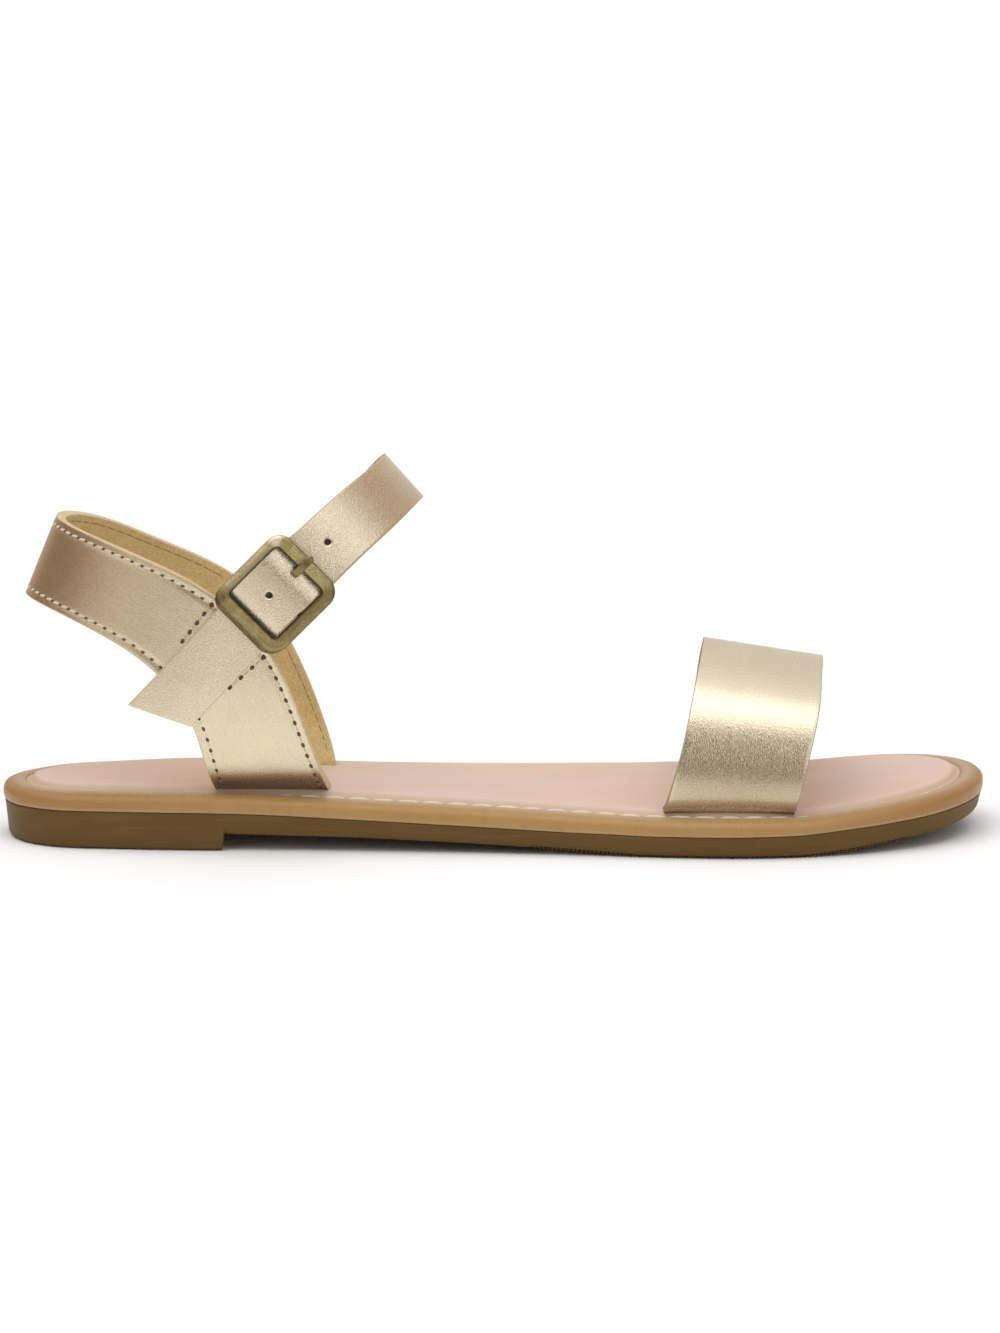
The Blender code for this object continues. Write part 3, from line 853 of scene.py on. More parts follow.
@dataclass(frozen=True)
class AgedBrass(Finish):
    """Aged brass plate: olive dark in the hollows, worn light on the crown, brushed along the bars, with a
    painted glint on the upper left.
    """

    dark: Colour = (0.10, 0.074, 0.028)
    worn_and_lit: Colour = (0.66, 0.55, 0.26)
    # Painted glint: the pale colour of a painted highlight on the upper left bar and corner.
    bright: Colour = (0.95, 0.90, 0.66)
    rind: Colour = (0.022, 0.015, 0.006)
    roughness: float = 0.27
    brush_lay: Place = (0.12, 5.0, 3.0)
    brush: Cloud = (1.0, 4.0, 0.7)
    brush_tone: Span = (0.3, 0.68, 0.45, 1.0)
    spots: Cloud = (0.55, 5.0, 0.7)
    spot_tone: Span = (0.30, 0.62, 0.65, 1.0)
    spot_rough: Span = (0.35, 0.7, 0.10, -0.06)
    crown: Span = (-0.7, 1.65, 0.0, 1.0)
    painted_glint_tone: Span = (1.5, 2.2, 0.0, 0.8)
    inner_rind: Span = (-1.65, -0.9, 0.95, 0.0)
    outer_rind: Span = (1.2, 1.9, 0.0, 0.5)
    drift: Pair = (0.3, 0.2)
    depth: float = 0.1

    def looks(self, graph: Graph, effects: Effects) -> Looks:
        """The crown of a bar is worn light, the upper left bar and corner get a painted highlight and glint,
        fine lines run along it, spots and both edges stay dark.

        Args:
            graph: Graph of the material.
            effects: Shared node groups.

        Returns:
            What the shader's sockets get.
        """
        lay = graph.axes(graph.lay())
        through, aside = lay["Z"], lay["Y"]
        brush = graph.noise(graph.lay(self.brush_lay), *self.brush)
        spots = graph.noise(graph.lay(), *self.spots)
        worn = graph.math("MULTIPLY", graph.span(through, *self.crown), graph.span(spots, *self.spot_tone),
                          graph.span(brush, *self.brush_tone))
        # Worn light on each crown, and painted lighter on the upper left as a painted highlight: both read
        # from the third lay value.
        tone = graph.mix(worn, self.dark, self.worn_and_lit)
        tone = graph.mix(graph.span(through, *self.painted_glint_tone), tone, self.bright)
        tone = effects.drifted(graph, tone, self.drift)
        rind = graph.math("MAXIMUM", graph.span(aside, *self.inner_rind), graph.span(aside, *self.outer_rind))
        tone = graph.mix(rind, tone, self.rind)
        rough = graph.math("ADD", self.roughness, graph.span(spots, *self.spot_rough))
        return {"Base Color": tone, "Metallic": 1.0, "Roughness": rough,
                "Normal": graph.bump(brush, self.depth)}


@dataclass(frozen=True)
class Thread(Finish):
    """Sewing thread: soft cream with twisted strands."""

    colour: Colour = (0.85, 0.71, 0.53)
    shade: Colour = (0.57, 0.43, 0.28)
    roughness: float = 0.7
    strands: float = 1.3
    uneven: float = 0.6
    strand_tone: Span = (0.1, 0.6, 0.5, 0.0)
    drift: Pair = (0.4, 0.25)
    depth: float = 0.08

    def looks(self, graph: Graph, effects: Effects) -> Looks:
        """Slanting strands as bands over the lay, and a little drift.

        Args:
            graph: Graph of the material.
            effects: Shared node groups.

        Returns:
            What the shader's sockets get.
        """
        inputs = {"Vector": graph.lay(), "Scale": self.strands, "Distortion": self.uneven}
        bands = graph.add("ShaderNodeTexWave", inputs, bands_direction="DIAGONAL").outputs["Fac"]
        tone = graph.mix(graph.span(bands, *self.strand_tone), self.colour, self.shade)
        return {"Base Color": effects.drifted(graph, tone, self.drift), "Roughness": self.roughness,
                "Normal": graph.bump(bands, self.depth)}


@dataclass(frozen=True)
class NeedleHoleShade(Finish):
    """Painted shade of a needle hole, on a small dark disc that stands on the surface."""

    colour: Colour = (0.05, 0.03, 0.014)
    lip: Colour = (0.16, 0.10, 0.05)
    roughness: float = 0.85
    rub: Cloud = (3.0, 3.0, 0.7)
    drift: Pair = (0.5, 0.4)

    def looks(self, graph: Graph, effects: Effects) -> Looks:
        """Painted shade for the hole's floor, with an uneven lighter lip.

        Args:
            graph: Graph of the material.
            effects: Shared node groups.

        Returns:
            What the shader's sockets get.
        """
        tone = graph.mix(graph.noise(graph.lay(), *self.rub), self.colour, self.lip)
        return {"Base Color": effects.drifted(graph, tone, self.drift), "Roughness": self.roughness}


@dataclass(frozen=True)
class PaleFloor(Finish):
    """Plain white floor. The leather mirrors it as a pale ground with a dark part before the shoe."""

    colour: Colour = (0.97, 0.97, 0.97)
    pale: Colour = (1.0, 0.985, 0.935)
    dark: Colour = (0.20, 0.145, 0.09)
    glow: Colour = (0.3, 0.3, 0.3)
    far: Pair = (0.35, 1.3)
    border: Span = (-0.04, 0.05, -0.40, 0.50)
    depth: Pair = (-0.72, -0.45)
    left: Pair = (-0.60, -0.22)
    roughness: float = 0.9
    specular: float = 0.1

    def looks(self, graph: Graph, effects: Effects) -> Looks:
        """White for the camera and the light, with the dark part for glossy rays alone.

        Args:
            graph: Graph of the material.
            effects: Shared node groups, not used here.

        Returns:
            What the shader's sockets get.
        """
        rays = graph.add("ShaderNodeLightPath", {}).outputs
        spot = graph.spot()
        x, y = spot["X"], spot["Y"]
        ahead = graph.math("SUBTRACT", y, graph.span(x, *self.border))
        near = graph.math("MINIMUM", graph.span(ahead, *self.depth), graph.span(x, *self.left))
        mirrored = graph.mix(near, self.dark, self.pale)
        squares = graph.math("ADD", graph.math("POWER", x, 2.0), graph.math("POWER", y, 2.0))
        far = graph.span(graph.math("SQRT", squares), *self.far)
        glow = graph.mix(graph.math("MULTIPLY", far, rays["Is Camera Ray"]), (0.0, 0.0, 0.0), self.glow)
        return {"Base Color": graph.mix(rays["Is Glossy Ray"], self.colour, mirrored), "Emission Color": glow,
                "Emission Strength": 1.0, "Roughness": self.roughness, "Specular IOR Level": self.specular}


class Finishes:
    """All materials of the shoe and its floor, made once."""

    def __init__(self) -> None:
        """Build every material."""
        effects = Effects()
        # Each strap's foot gives the heights where its painted shade near the sole fades out.
        self.toe_leather = GoldLeather(
            "gold_leather_toe", draw=0.5, depth=0.027, foot=(10.4, 11.4)).material(effects)
        # Painted light: the heel and ankle straps get lighter copies of the toe strap's gold leather, to
        # brighten them.
        self.heel_leather = GoldLeather(
            "gold_leather_heel", (0.79, 0.69, 0.515), draw=0.85, depth=0.026,
            foot=(14.3, 22.6)).material(effects)
        self.ankle_leather = GoldLeather(
            "gold_leather_ankle", (0.81, 0.715, 0.55), draw=0.9, depth=0.04, holes=AnkleStrap.HOLES,
            worn_and_shaded_bends=AnkleStrap.WORN_AND_SHADED_BENDS).material(effects)
        self.edge = CutEdge("cut_edge").material(effects)
        self.toe_edge = CutEdge("cut_edge_toe", (0.40, 0.31, 0.20), (0.28, 0.19, 0.11)).material(effects)
        self.ankle_edge = CutEdge("cut_edge_ankle", (0.58, 0.47, 0.31), (0.46, 0.34, 0.20)).material(effects)
        self.lining = Lining("brushed_lining").material(effects)
        self.rim = WrappedRim("wrapped_rim").material(effects)
        self.sock = NudeSock("nude_sock_cover").material(effects)
        self.rubber = BrownRubber("moulded_rubber").material(effects)
        self.brass = AgedBrass("aged_brass_plate").material(effects)
        self.thread = Thread("cream_thread").material(effects)
        # Partly painted highlight: the sock's seam gets a lighter copy of the cream thread.
        self.sock_thread = Thread("sock_thread", (0.97, 0.84, 0.67), (0.88, 0.70, 0.52)).material(effects)
        self.sunk_thread = Thread("sunk_thread", (0.52, 0.42, 0.28), (0.34, 0.26, 0.16)).material(effects)
        self.back_thread = Thread("back_thread", (0.34, 0.21, 0.085), (0.25, 0.15, 0.06)).material(effects)
        self.hole = NeedleHoleShade("needle_hole_shade").material(effects)
        self.floor = PaleFloor("pale_floor").material(effects)


# Sewing

@dataclass(frozen=True)
class Bead:
    """Small rounded oblong, used for one thread on the surface or as the dark disc that paints a needle
    hole's shade.
    """

    length: float
    width: float
    height: float
    sink: float = 0.0
    slant: float = 0.0
    bow: float = 0.0

    ROWS = 5
    AROUND = 8
    REACH = 0.94
    FULLNESS = 0.42
    LAY_STEP = 7.3

    def shell(self, centres: Array, ahead: Array, up: Array) -> Shell:
        """Repeat the bead at each place: rings of an ellipsoid along the seam, closed at both ends.

        Args:
            centres: Places on the surface.
            ahead: Direction of the seam at each place.
            up: Direction out of the surface at each place.

        Returns:
            All beads as one shell.
        """
        turn = math.radians(self.slant)
        side = np.cross(up, ahead)
        forward = math.cos(turn) * ahead + math.sin(turn) * side
        side = np.cross(up, forward)
        place = np.linspace(-self.REACH, self.REACH, self.ROWS)
        round_ = np.linspace(0.0, 2.0 * math.pi, self.AROUND, endpoint=False)
        swell = (1.0 - place ** 2) ** self.FULLNESS
        local = np.stack(np.broadcast_arrays(
            0.5 * self.length * place[:, None],
            0.5 * self.width * swell[:, None] * np.cos(round_) + self.bow * (1.0 - place[:, None] ** 2),
            self.height * swell[:, None] * np.sin(round_) - self.sink), axis=-1).reshape(-1, 3)
        axes = np.stack((forward, side, up), axis=1)
        points = (centres[:, None] + np.einsum("kc,ncx->nkx", local, axes)).reshape(-1, 3)
        count = len(local)
        quads = grid_quads(self.ROWS, self.AROUND, False, True)
        if not outward(points[:count], quads):
            quads = quads[:, ::-1]
            ends = (range(self.AROUND)[::-1], range(count - self.AROUND, count))
        else:
            ends = (range(self.AROUND), range(count - self.AROUND, count)[::-1])
        starts = np.arange(len(centres)) * count
        faces = (starts[:, None, None] + quads).reshape(-1, 4).tolist()
        for end in ends:
            faces.extend((starts[:, None] + np.array(list(end))).tolist())
        lay = np.tile(local, (len(centres), 1))
        lay[:, 0] += np.repeat(self.LAY_STEP * np.arange(len(centres)), count)
        return Shell(points, lay, faces, np.zeros(len(faces), int))


@dataclass(frozen=True)
class Seam:
    """Row of stitches along a path on a surface.

    Attributes:
        pitch: Distance from needle hole to needle hole.
        thread: Thread between two holes.
        hole: Dark disc that paints the shade of a needle hole.
    """

    pitch: float
    thread: Bead
    hole: Bead | None = None

    def along(self, path: Array, normals: Array) -> tuple[Shell, Shell | None]:
        """Space stitches evenly along a path.

        Args:
            path: Closely spaced points on the surface.
            normals: Direction out of the surface at each point.

        Returns:
            The threads and the needle holes.
        """
        length = running_length(path)
        count = max(int(length[-1] / self.pitch), 1)
        ends = np.linspace(0.0, length[-1], count + 1)
        middles = 0.5 * (ends[1:] + ends[:-1])

        def read(places: Array) -> tuple[Array, Array, Array]:
            """Return points, directions along and directions out at lengths along the path.

            Args:
                places: Lengths along the path.

            Returns:
                Points, directions along and directions out of the surface.
            """
            spots = np.column_stack([np.interp(places, length, path[:, k]) for k in range(3)])
            ups = unit(np.column_stack([np.interp(places, length, normals[:, k]) for k in range(3)]))
            slope = np.gradient(path, length, axis=0)
            ahead = unit(np.column_stack([np.interp(places, length, slope[:, k]) for k in range(3)]))
            return spots, unit(ahead - ups * np.sum(ahead * ups, axis=1, keepdims=True)), ups

        threads = self.thread.shell(*read(middles))
        return threads, self.hole.shell(*read(ends)) if self.hole else None


# Sole

@dataclass(frozen=True)
class SoleForm:
    """Outline, underside and seat of the sole as curves over its length.

    Attributes:
        sections: Place along the foot, outer and inner edge, underside of waist and toe, seat of the rim.
        joint: Place along the foot, and height of the joint of outsole and rim above the seat.
    """

    length: float = 250.0
    breast: float = -68.3
    breast_slope: float = 0.6
    breast_points: int = 5
    columns: tuple[str, ...] = ("station", "outer", "inner", "tread", "seat")
    sections: Table = (
        (-125.0, -4.5, -4.5, 4.4, 9.0), (-120.0, -20.5, 8.0, 4.4, 9.0), (-110.0, -28.0, 16.5, 4.4, 9.0),
        (-95.0, -30.5, 21.0, 4.4, 9.0), (-80.0, -32.0, 23.0, 4.4, 9.0), (-60.0, -32.8, 24.0, 3.9, 8.7),
        (-35.0, -34.0, 26.0, 3.4, 7.6), (0.0, -36.4, 32.0, 2.0, 6.1), (22.0, -39.0, 38.0, 0.9, 5.1),
        (40.0, -41.6, 42.0, 0.0, 4.5), (60.0, -43.2, 43.2, 0.0, 4.5), (74.0, -42.0, 43.2, 0.0, 4.5),
        (90.0, -38.0, 42.8, 1.3, 5.9), (102.0, -32.0, 40.6, 2.6, 7.1), (113.0, -23.6, 34.8, 3.8, 8.2),
        (121.0, -11.5, 25.0, 4.7, 9.0), (125.0, 8.5, 8.5, 5.2, 9.4),
    )
    joint: Table = (
        (-125.0, 0.4), (-113.0, 0.62), (-36.0, 0.68), (0.0, 0.58), (20.0, 0.72), (32.0, 1.0), (54.0, 1.0),
        (66.0, 1.12), (80.0, 1.28), (92.0, 0.92), (101.0, 0.6), (110.0, 0.4), (125.0, 0.4),
    )

    def turn(self, station: Array) -> Array:
        """Return the angle that spaces stations closely at heel end and toe end."""
        return np.arccos(np.clip(-2.0 * np.asarray(station) / self.length, -1.0, 1.0))

    def value(self, name: str, station: Array) -> Array:
        """Return one column of the table at places along the foot."""
        table = np.array(self.sections)
        return even_cubic(self.turn(table[:, 0]), table[:, self.columns.index(name)], self.turn(station))

    def seat(self, station: Array) -> Array:
        """Return the height that the rim's section is measured from."""
        return self.value("seat", station)

    def rise(self, station: Array) -> Array:
        """Return how far the outsole's top stands above the seat."""
        table = np.array(self.joint)
        return even_cubic(table[:, 0], table[:, 1], station)

    def tread(self, station: Array) -> Array:
        """Return the underside: flat heel block, a steep step, then waist, ball and toe spring."""
        return self.value("tread", station) * ease(self.breast, self.breast + self.breast_slope, station)

    def outline(self, count: int) -> Array:
        """Return the closed outline from the heel end along the outer side to the toe and back.

        Args:
            count: Stations on each side, spaced by equal turns.

        Returns:
            Rows of X and Y, with stations close to the heel breast added.
        """
        even = -0.5 * self.length * np.cos(np.linspace(0.0, math.pi, count))
        step = self.breast + self.breast_slope * np.linspace(0.0, 1.0, self.breast_points)
        clear = np.abs(even - self.breast - 0.5 * self.breast_slope) > self.breast_slope
        stations = np.sort(np.append(even[clear], step))
        outer = np.column_stack((stations, self.value("outer", stations)))
        inner = np.column_stack((stations, self.value("inner", stations)))
        return np.vstack((outer, inner[-2:0:-1]))

    @staticmethod
    def inwards(loop: Array) -> Array:
        """Return the inward direction at each point of a closed outline."""
        along = unit(np.roll(loop, -1, axis=0) - np.roll(loop, 1, axis=0))
        return np.column_stack((-along[:, 1], along[:, 0]))


def capped_rings(rings: list[Array], lays: list[Array], across: int) -> Shell:
    """Close a stack of rings: quads between rings, and strips from outer to inner side over both ends.

    Args:
        rings: Rings of points from the lowest to the highest.
        lays: Lay of each ring's points.
        across: Cells of a strip from side to side.

    Returns:
        The closed shell, facing outwards.
    """
    count = len(rings[0])
    half = count // 2
    points = [np.vstack(rings)]
    lay = [np.vstack(lays)]
    quads = grid_quads(len(rings), count, False, True)[:, ::-1].tolist()
    start = len(rings) * count
    share = np.linspace(0.0, 1.0, across + 1)[1:-1]
    for level, upward in ((0, False), (len(rings) - 1, True)):
        base = level * count
        outer = base + np.arange(1, half)
        inner = base + count - np.arange(1, half)
        for source, store in ((rings[level], points), (lays[level], lay)):
            a = source[outer - base][:, None]
            b = source[inner - base][:, None]
            store.append((a + (b - a) * share[None, :, None]).reshape(-1, 3))
        fill = start + np.arange((half - 1) * len(share)).reshape(half - 1, len(share))
        start += fill.size
        rows = np.column_stack((outer, fill, inner))
        cells = np.stack((rows[:-1, :-1], rows[1:, :-1], rows[1:, 1:], rows[:-1, 1:]), axis=-1).reshape(-1, 4)
        faces = cells.tolist()
        faces.append([base, *rows[0].tolist()])
        faces.append([base + half, *rows[-1][::-1].tolist()])
        quads.extend(faces if upward else [face[::-1] for face in faces])
    return Shell(np.vstack(points), np.vstack(lay), quads, np.zeros(len(quads), int))


@dataclass
class Outsole:
    """Moulded sole with its low heel block and fine ribs under the forefoot.

    Attributes:
        foot: Rounded lower edge as inset and height above the underside.
        wall: Side wall as inset from the outline and share of its height.
        rib_taper: Share of its width that a rib keeps at the ground.
    """

    form: SoleForm = field(default_factory=SoleForm)
    count: int = 361
    foot: Table = ((5.0, 0.0), (3.0, 0.0), (2.2, 0.15), (1.6, 0.5), (1.2, 1.15))
    wall: Table = ((1.0, 0.38), (0.8, 0.6), (0.6, 0.8), (0.42, 0.94), (0.4, 0.99), (1.3, 1.01), (2.8, 1.02))
    rib_zone: Pair = (10.0, 102.0)
    rib_pitch: float = 1.05
    rib_width: float = 0.7
    rib_height: float = 0.32
    rib_inset: float = 2.3
    rib_fade: float = 2.0
    rib_root: float = 0.1
    rib_taper: float = 0.7
    cap_cells: int = 10

    def under(self, station: Array) -> Array:
        """Return the underside, raised by the height of the ribs where ribs stand under it.

        Args:
            station: Places along the foot.

        Returns:
            Heights.
        """
        low, high = self.rib_zone
        ribbed = ease(low - self.rib_fade, low, station) * (1.0 - ease(high, high + self.rib_fade, station))
        return self.form.tread(station) + self.rib_height * ribbed

    def body(self) -> Shell:
        """Rings round the outline: rounded foot, side wall up to the seat, and a turned-in top.

        Returns:
            The closed body.
        """
        loop = self.form.outline(self.count)
        inward = self.form.inwards(loop)
        along = running_length(loop)
        rings, lays = [], []
        for inset, height in self.foot:
            ring = loop + inset * inward
            rings.append(np.column_stack((ring, self.under(ring[:, 0]) + height)))
            lays.append(np.column_stack((along, np.full(len(loop), height), np.full(len(loop), inset))))
        for inset, share in self.wall:
            ring = loop + inset * inward
            low = self.under(ring[:, 0])
            height = low + share * (self.form.seat(ring[:, 0]) + self.form.rise(ring[:, 0]) - low)
            rings.append(np.column_stack((ring, height)))
            lays.append(np.column_stack((along, height, np.full(len(loop), inset))))
        return capped_rings(rings, lays, self.cap_cells)

    def ribs(self) -> Shell:
        """Straight bars from side to side under the forefoot, each a tapered section carried across.

        Returns:
            All ribs.
        """
        stations = np.arange(*self.rib_zone, self.rib_pitch)
        half = 0.5 * self.rib_width
        tip, root = self.rib_taper * half, self.rib_height + self.rib_root
        section = np.array(((-half, root), (-tip, 0.0), (tip, 0.0), (half, root)))
        ends = np.stack((self.form.value("outer", stations) + self.rib_inset,
                         self.form.value("inner", stations) - self.rib_inset), axis=1)
        x = stations[:, None, None] + section[None, None, :, 0]
        y = np.broadcast_to(ends[:, :, None], (len(stations), 2, 4))
        z = self.form.tread(stations)[:, None, None] + section[None, None, :, 1]
        grid = np.stack(np.broadcast_arrays(x, y, z), axis=-1)
        return joined([swept_shell(bar, bar) for bar in grid])

    def build(self, finishes: Finishes) -> None:
        """Make and dress the outsole."""
        shell = joined([self.body(), self.ribs()])
        make_piece("outsole_body", shell, [finishes.rubber], ("outsole",))


@dataclass
class Rim:
    """Rounded rim round the footbed, wrapped in tan.

    Attributes:
        profile: Closed section as inset from the outline and height above the seat.
    """

    form: SoleForm = field(default_factory=SoleForm)
    count: int = 361
    profile: Table = (
        (7.6, 0.2), (4.5, 0.08), (1.9, 0.0), (0.8, 0.0), (0.3, 0.22), (0.06, 0.95), (0.0, 2.1), (0.25, 3.4),
        (1.1, 4.4), (2.5, 5.0), (4.2, 5.18), (5.3, 5.05), (5.75, 4.55), (5.9, 3.6), (7.6, 3.0),
    )
    steps: int = 44

    def build(self, finishes: Finishes) -> None:
        """Make and dress the rim: its section carried round the sole's outline.

        Args:
            finishes: All materials.
        """
        table = np.array(self.profile)
        knots = running_length(table)
        around = np.linspace(0.0, knots[-1], self.steps)
        section = natural_cubic(knots, table, around)
        loop = self.form.outline(self.count)
        inward = self.form.inwards(loop)
        along = running_length(loop)
        place = loop[:, None] + section[None, :, :1] * inward[:, None]
        station = place[..., 0].ravel()
        seat = self.form.seat(station).reshape(place.shape[:2])
        rise = self.form.rise(station).reshape(place.shape[:2])
        height = seat + section[None, :, 1] + rise * (1.0 - section[None, :, 1] / table[:, 1].max())
        grid = np.concatenate((place, height[..., None]), axis=-1)
        lay = np.stack(np.broadcast_arrays(along[:, None], around[None], 0.0), axis=-1)
        make_piece("rim", swept_shell(grid, lay, wrap_rows=True), [finishes.rim], ("midsole",))


@dataclass
class Footbed:
    """Padded sock inside the rim, pressed in at the strap slits and sewn down along its edge.

    Attributes:
        profile: Edge as inset from the outline and height above the seat.
        slits: Rear, front and place across of each strap slit.
        seam_bold: Stretch where the seam stands out.
        roll_ends: Stretch where the border is rolled up.
    """

    form: SoleForm = field(default_factory=SoleForm)
    count: int = 361
    profile: Table = (
        (6.6, 2.2), (6.1, 2.5), (5.75, 3.4), (5.7, 4.3), (5.85, 4.72), (6.3, 4.85), (6.8, 4.95),
        (7.3, 5.4), (7.9, 5.95), (8.6, 6.38), (9.4, 6.56), (10.4, 6.5), (11.6, 6.28), (12.8, 6.08),
    )
    cap_cells: int = 40
    slits: Table = ()
    slit_depth: float = 0.08
    slit_reach: float = 1.7
    slit_floor: float = 4.2
    seam_inset: float = 6.05
    seam_height: float = 4.78
    seam_bold: Pair = (-40.0, 62.0)
    seam_sunk: float = 0.6
    roll_ends: Pair = (-80.0, 72.0)
    fade: float = 25.0

    SEAM = Seam(6.2, Bead(6.0, 0.9, 0.62, -0.05, 0.0, 0.25))

    def between(self, ends: Pair, x: Array) -> Array:
        """Return 1 between two stations, easing to 0 over the fade beyond each of them."""
        return ease(ends[0] - self.fade, ends[0], x) * (1.0 - ease(ends[1], ends[1] + self.fade, x))

    def pressed(self, x: Array, y: Array) -> Array:
        """Return how far the cover is drawn down: a soft valley along every slit.

        Args:
            x: Places along the foot.
            y: Places across it.

        Returns:
            Depths.
        """
        deepest = np.zeros_like(x)
        for rear, front, across in self.slits:
            beyond = np.maximum(np.maximum(rear - x, x - front), 0.0)
            away = np.hypot(beyond, y - across)
            deepest = np.maximum(deepest, self.slit_depth * np.exp(-(away / self.slit_reach) ** 2))
        return deepest

    def build(self, finishes: Finishes) -> None:
        """Make and dress the footbed and its seam.

        Args:
            finishes: All materials.
        """
        loop = self.form.outline(self.count)
        inward = self.form.inwards(loop)
        rings, lays = [], []
        for inset, height in self.profile:
            ring = loop + inset * inward
            excess = max(height - self.profile[-1][1], 0.0)
            level = height - excess * (1.0 - self.between(self.roll_ends, ring[:, 0]))
            z = self.form.seat(ring[:, 0]) + level
            rings.append(np.column_stack((ring, z)))
            lays.append(np.column_stack((ring, np.full(len(ring), inset))))
        shell = capped_rings(rings, lays, self.cap_cells)
        upper = shell.points[:, 2] > self.form.seat(shell.points[:, 0]) + self.slit_floor
        sunk = self.pressed(shell.points[:, 0], shell.points[:, 1])
        shell.points[upper, 2] -= sunk[upper]
        piece = make_piece("footbed", shell, [finishes.sock], ("insole",))
        self.sew(finishes)

    def sew(self, finishes: Finishes) -> None:
        """Sew the cover down all round, with threads that follow its outline.

        Args:
            finishes: All materials.
        """
        loop = self.form.outline(self.count)
        path = loop + self.seam_inset * self.form.inwards(loop)
        path = np.vstack((path, path[:1]))
        height = self.form.seat(path[:, 0]) + self.seam_height - self.pressed(path[:, 0], path[:, 1])
        height -= self.seam_sunk * (1.0 - self.between(self.seam_bold, path[:, 0]))
        points = np.column_stack((path, height))
        threads, _ = self.SEAM.along(points, np.tile((0.0, 0.0, 1.0), (len(points), 1)))
        make_piece("footbed_threads", threads, [finishes.sock_thread])


# Straps

@dataclass(frozen=True)
class StrapProfile:
    """Loop round a strap's section: face, cut edge, lining, cut edge.

    Attributes:
        face_columns: Points across the face.
        lining_columns: Points across the lining.
        edge_columns: Points round each cut edge.
        edge_round: How far the edge's rounding reaches in.
        squareness: Power that squares the edge's half oval.
    """

    face_columns: int = 26
    lining_columns: int = 14
    edge_columns: int = 6
    edge_round: float = 0.5
    squareness: float = 0.5

    def loop(self, width: Array) -> tuple[Array, Array, Array]:
        """Return the share across and the depth of every point of the loop, and each column's layer.

        Args:
            width: Width of the strap at each row.

        Returns:
            Share across for rows by columns, depth from 1 at the face to -1 at the lining, and layers.
        """
        inset = (self.edge_round / width)[:, None]
        turn = np.linspace(0.0, math.pi, self.edge_columns + 2)[1:-1]
        reach = np.sin(turn) ** self.squareness
        drop = np.sign(np.cos(turn)) * np.abs(np.cos(turn)) ** self.squareness
        face = np.linspace(0.0, 1.0, self.face_columns)
        back = np.linspace(1.0, 0.0, self.lining_columns)
        inner = 1.0 - 2.0 * inset
        share = np.hstack((inset + face * inner, 1.0 - inset + inset * reach,
                           inset + back * inner, inset - inset * reach))
        depth = np.concatenate((np.ones_like(face), drop, -np.ones_like(back), -drop))
        counts = (self.face_columns, self.edge_columns, self.lining_columns, self.edge_columns)
        return share, depth, np.repeat((Layer.FACE, Layer.EDGE, Layer.LINING, Layer.EDGE), counts)


class StrapSheet:
    """Middle surface of a strap. A strap gives its surface; this adds normals and the closed shell.

    Attributes:
        heart: Point inside the shoe that the face looks away from.
    """

    heart: Place = (0.0, 0.0, 0.0)
    wall: float = 2.0
    step: float = 0.02

    def surface(self, run: Array, share: Array) -> Array:
        """Return points for runs along the strap by shares across it."""
        raise NotImplementedError

    def normal(self, run: Array, share: Array) -> Array:
        """Return directions away from the foot: the slope along crossed with the slope across.

        Args:
            run: Places along the strap.
            share: Shares across it, a row for each place.

        Returns:
            Directions.
        """
        along = self.surface(run + self.step, share) - self.surface(run - self.step, share)
        across = self.surface(run, share + self.step) - self.surface(run, share - self.step)
        normal = unit(np.cross(along, across))
        away = self.surface(run, share) - np.array(self.heart)
        return normal * np.sign(np.sum(normal * away))

    def span_across(self, run: Array) -> Array:
        """Return the width of the strap at places along it, as a column."""
        ones = np.ones((len(run), 1))
        return np.linalg.norm(self.surface(run, ones) - self.surface(run, 0.0 * ones), axis=-1)

    def shell(self, runs: Array, profile: StrapProfile,
              relief: Callable[[Array, Array], Array] | None = None) -> Shell:
        """Return the strap's closed wall: the middle surface moved half a wall out and in.

        Args:
            runs: Places along the strap.
            profile: Section of the strap.
            relief: Extra height of the face for a lay and the widths of its rows.

        Returns:
            The shell with face, edge and lining layers.
        """
        ones = np.ones((len(runs), 1))
        width = self.span_across(runs)[:, 0]
        share, depth, layers = profile.loop(width)
        along = running_length(self.surface(runs, 0.5 * ones)[:, 0])
        lay = np.stack(np.broadcast_arrays(along[:, None], (share - 0.5) * width[:, None],
                                           0.5 * self.wall * depth[None]), axis=-1)
        lift = 0.5 * self.wall * np.broadcast_to(depth, share.shape)
        if relief is not None:
            lift = lift + np.maximum(depth, 0.0) * relief(lay, width)
        grid = self.surface(runs, share) + lift[..., None] * self.normal(runs, share)
        return swept_shell(grid, lay, layers)


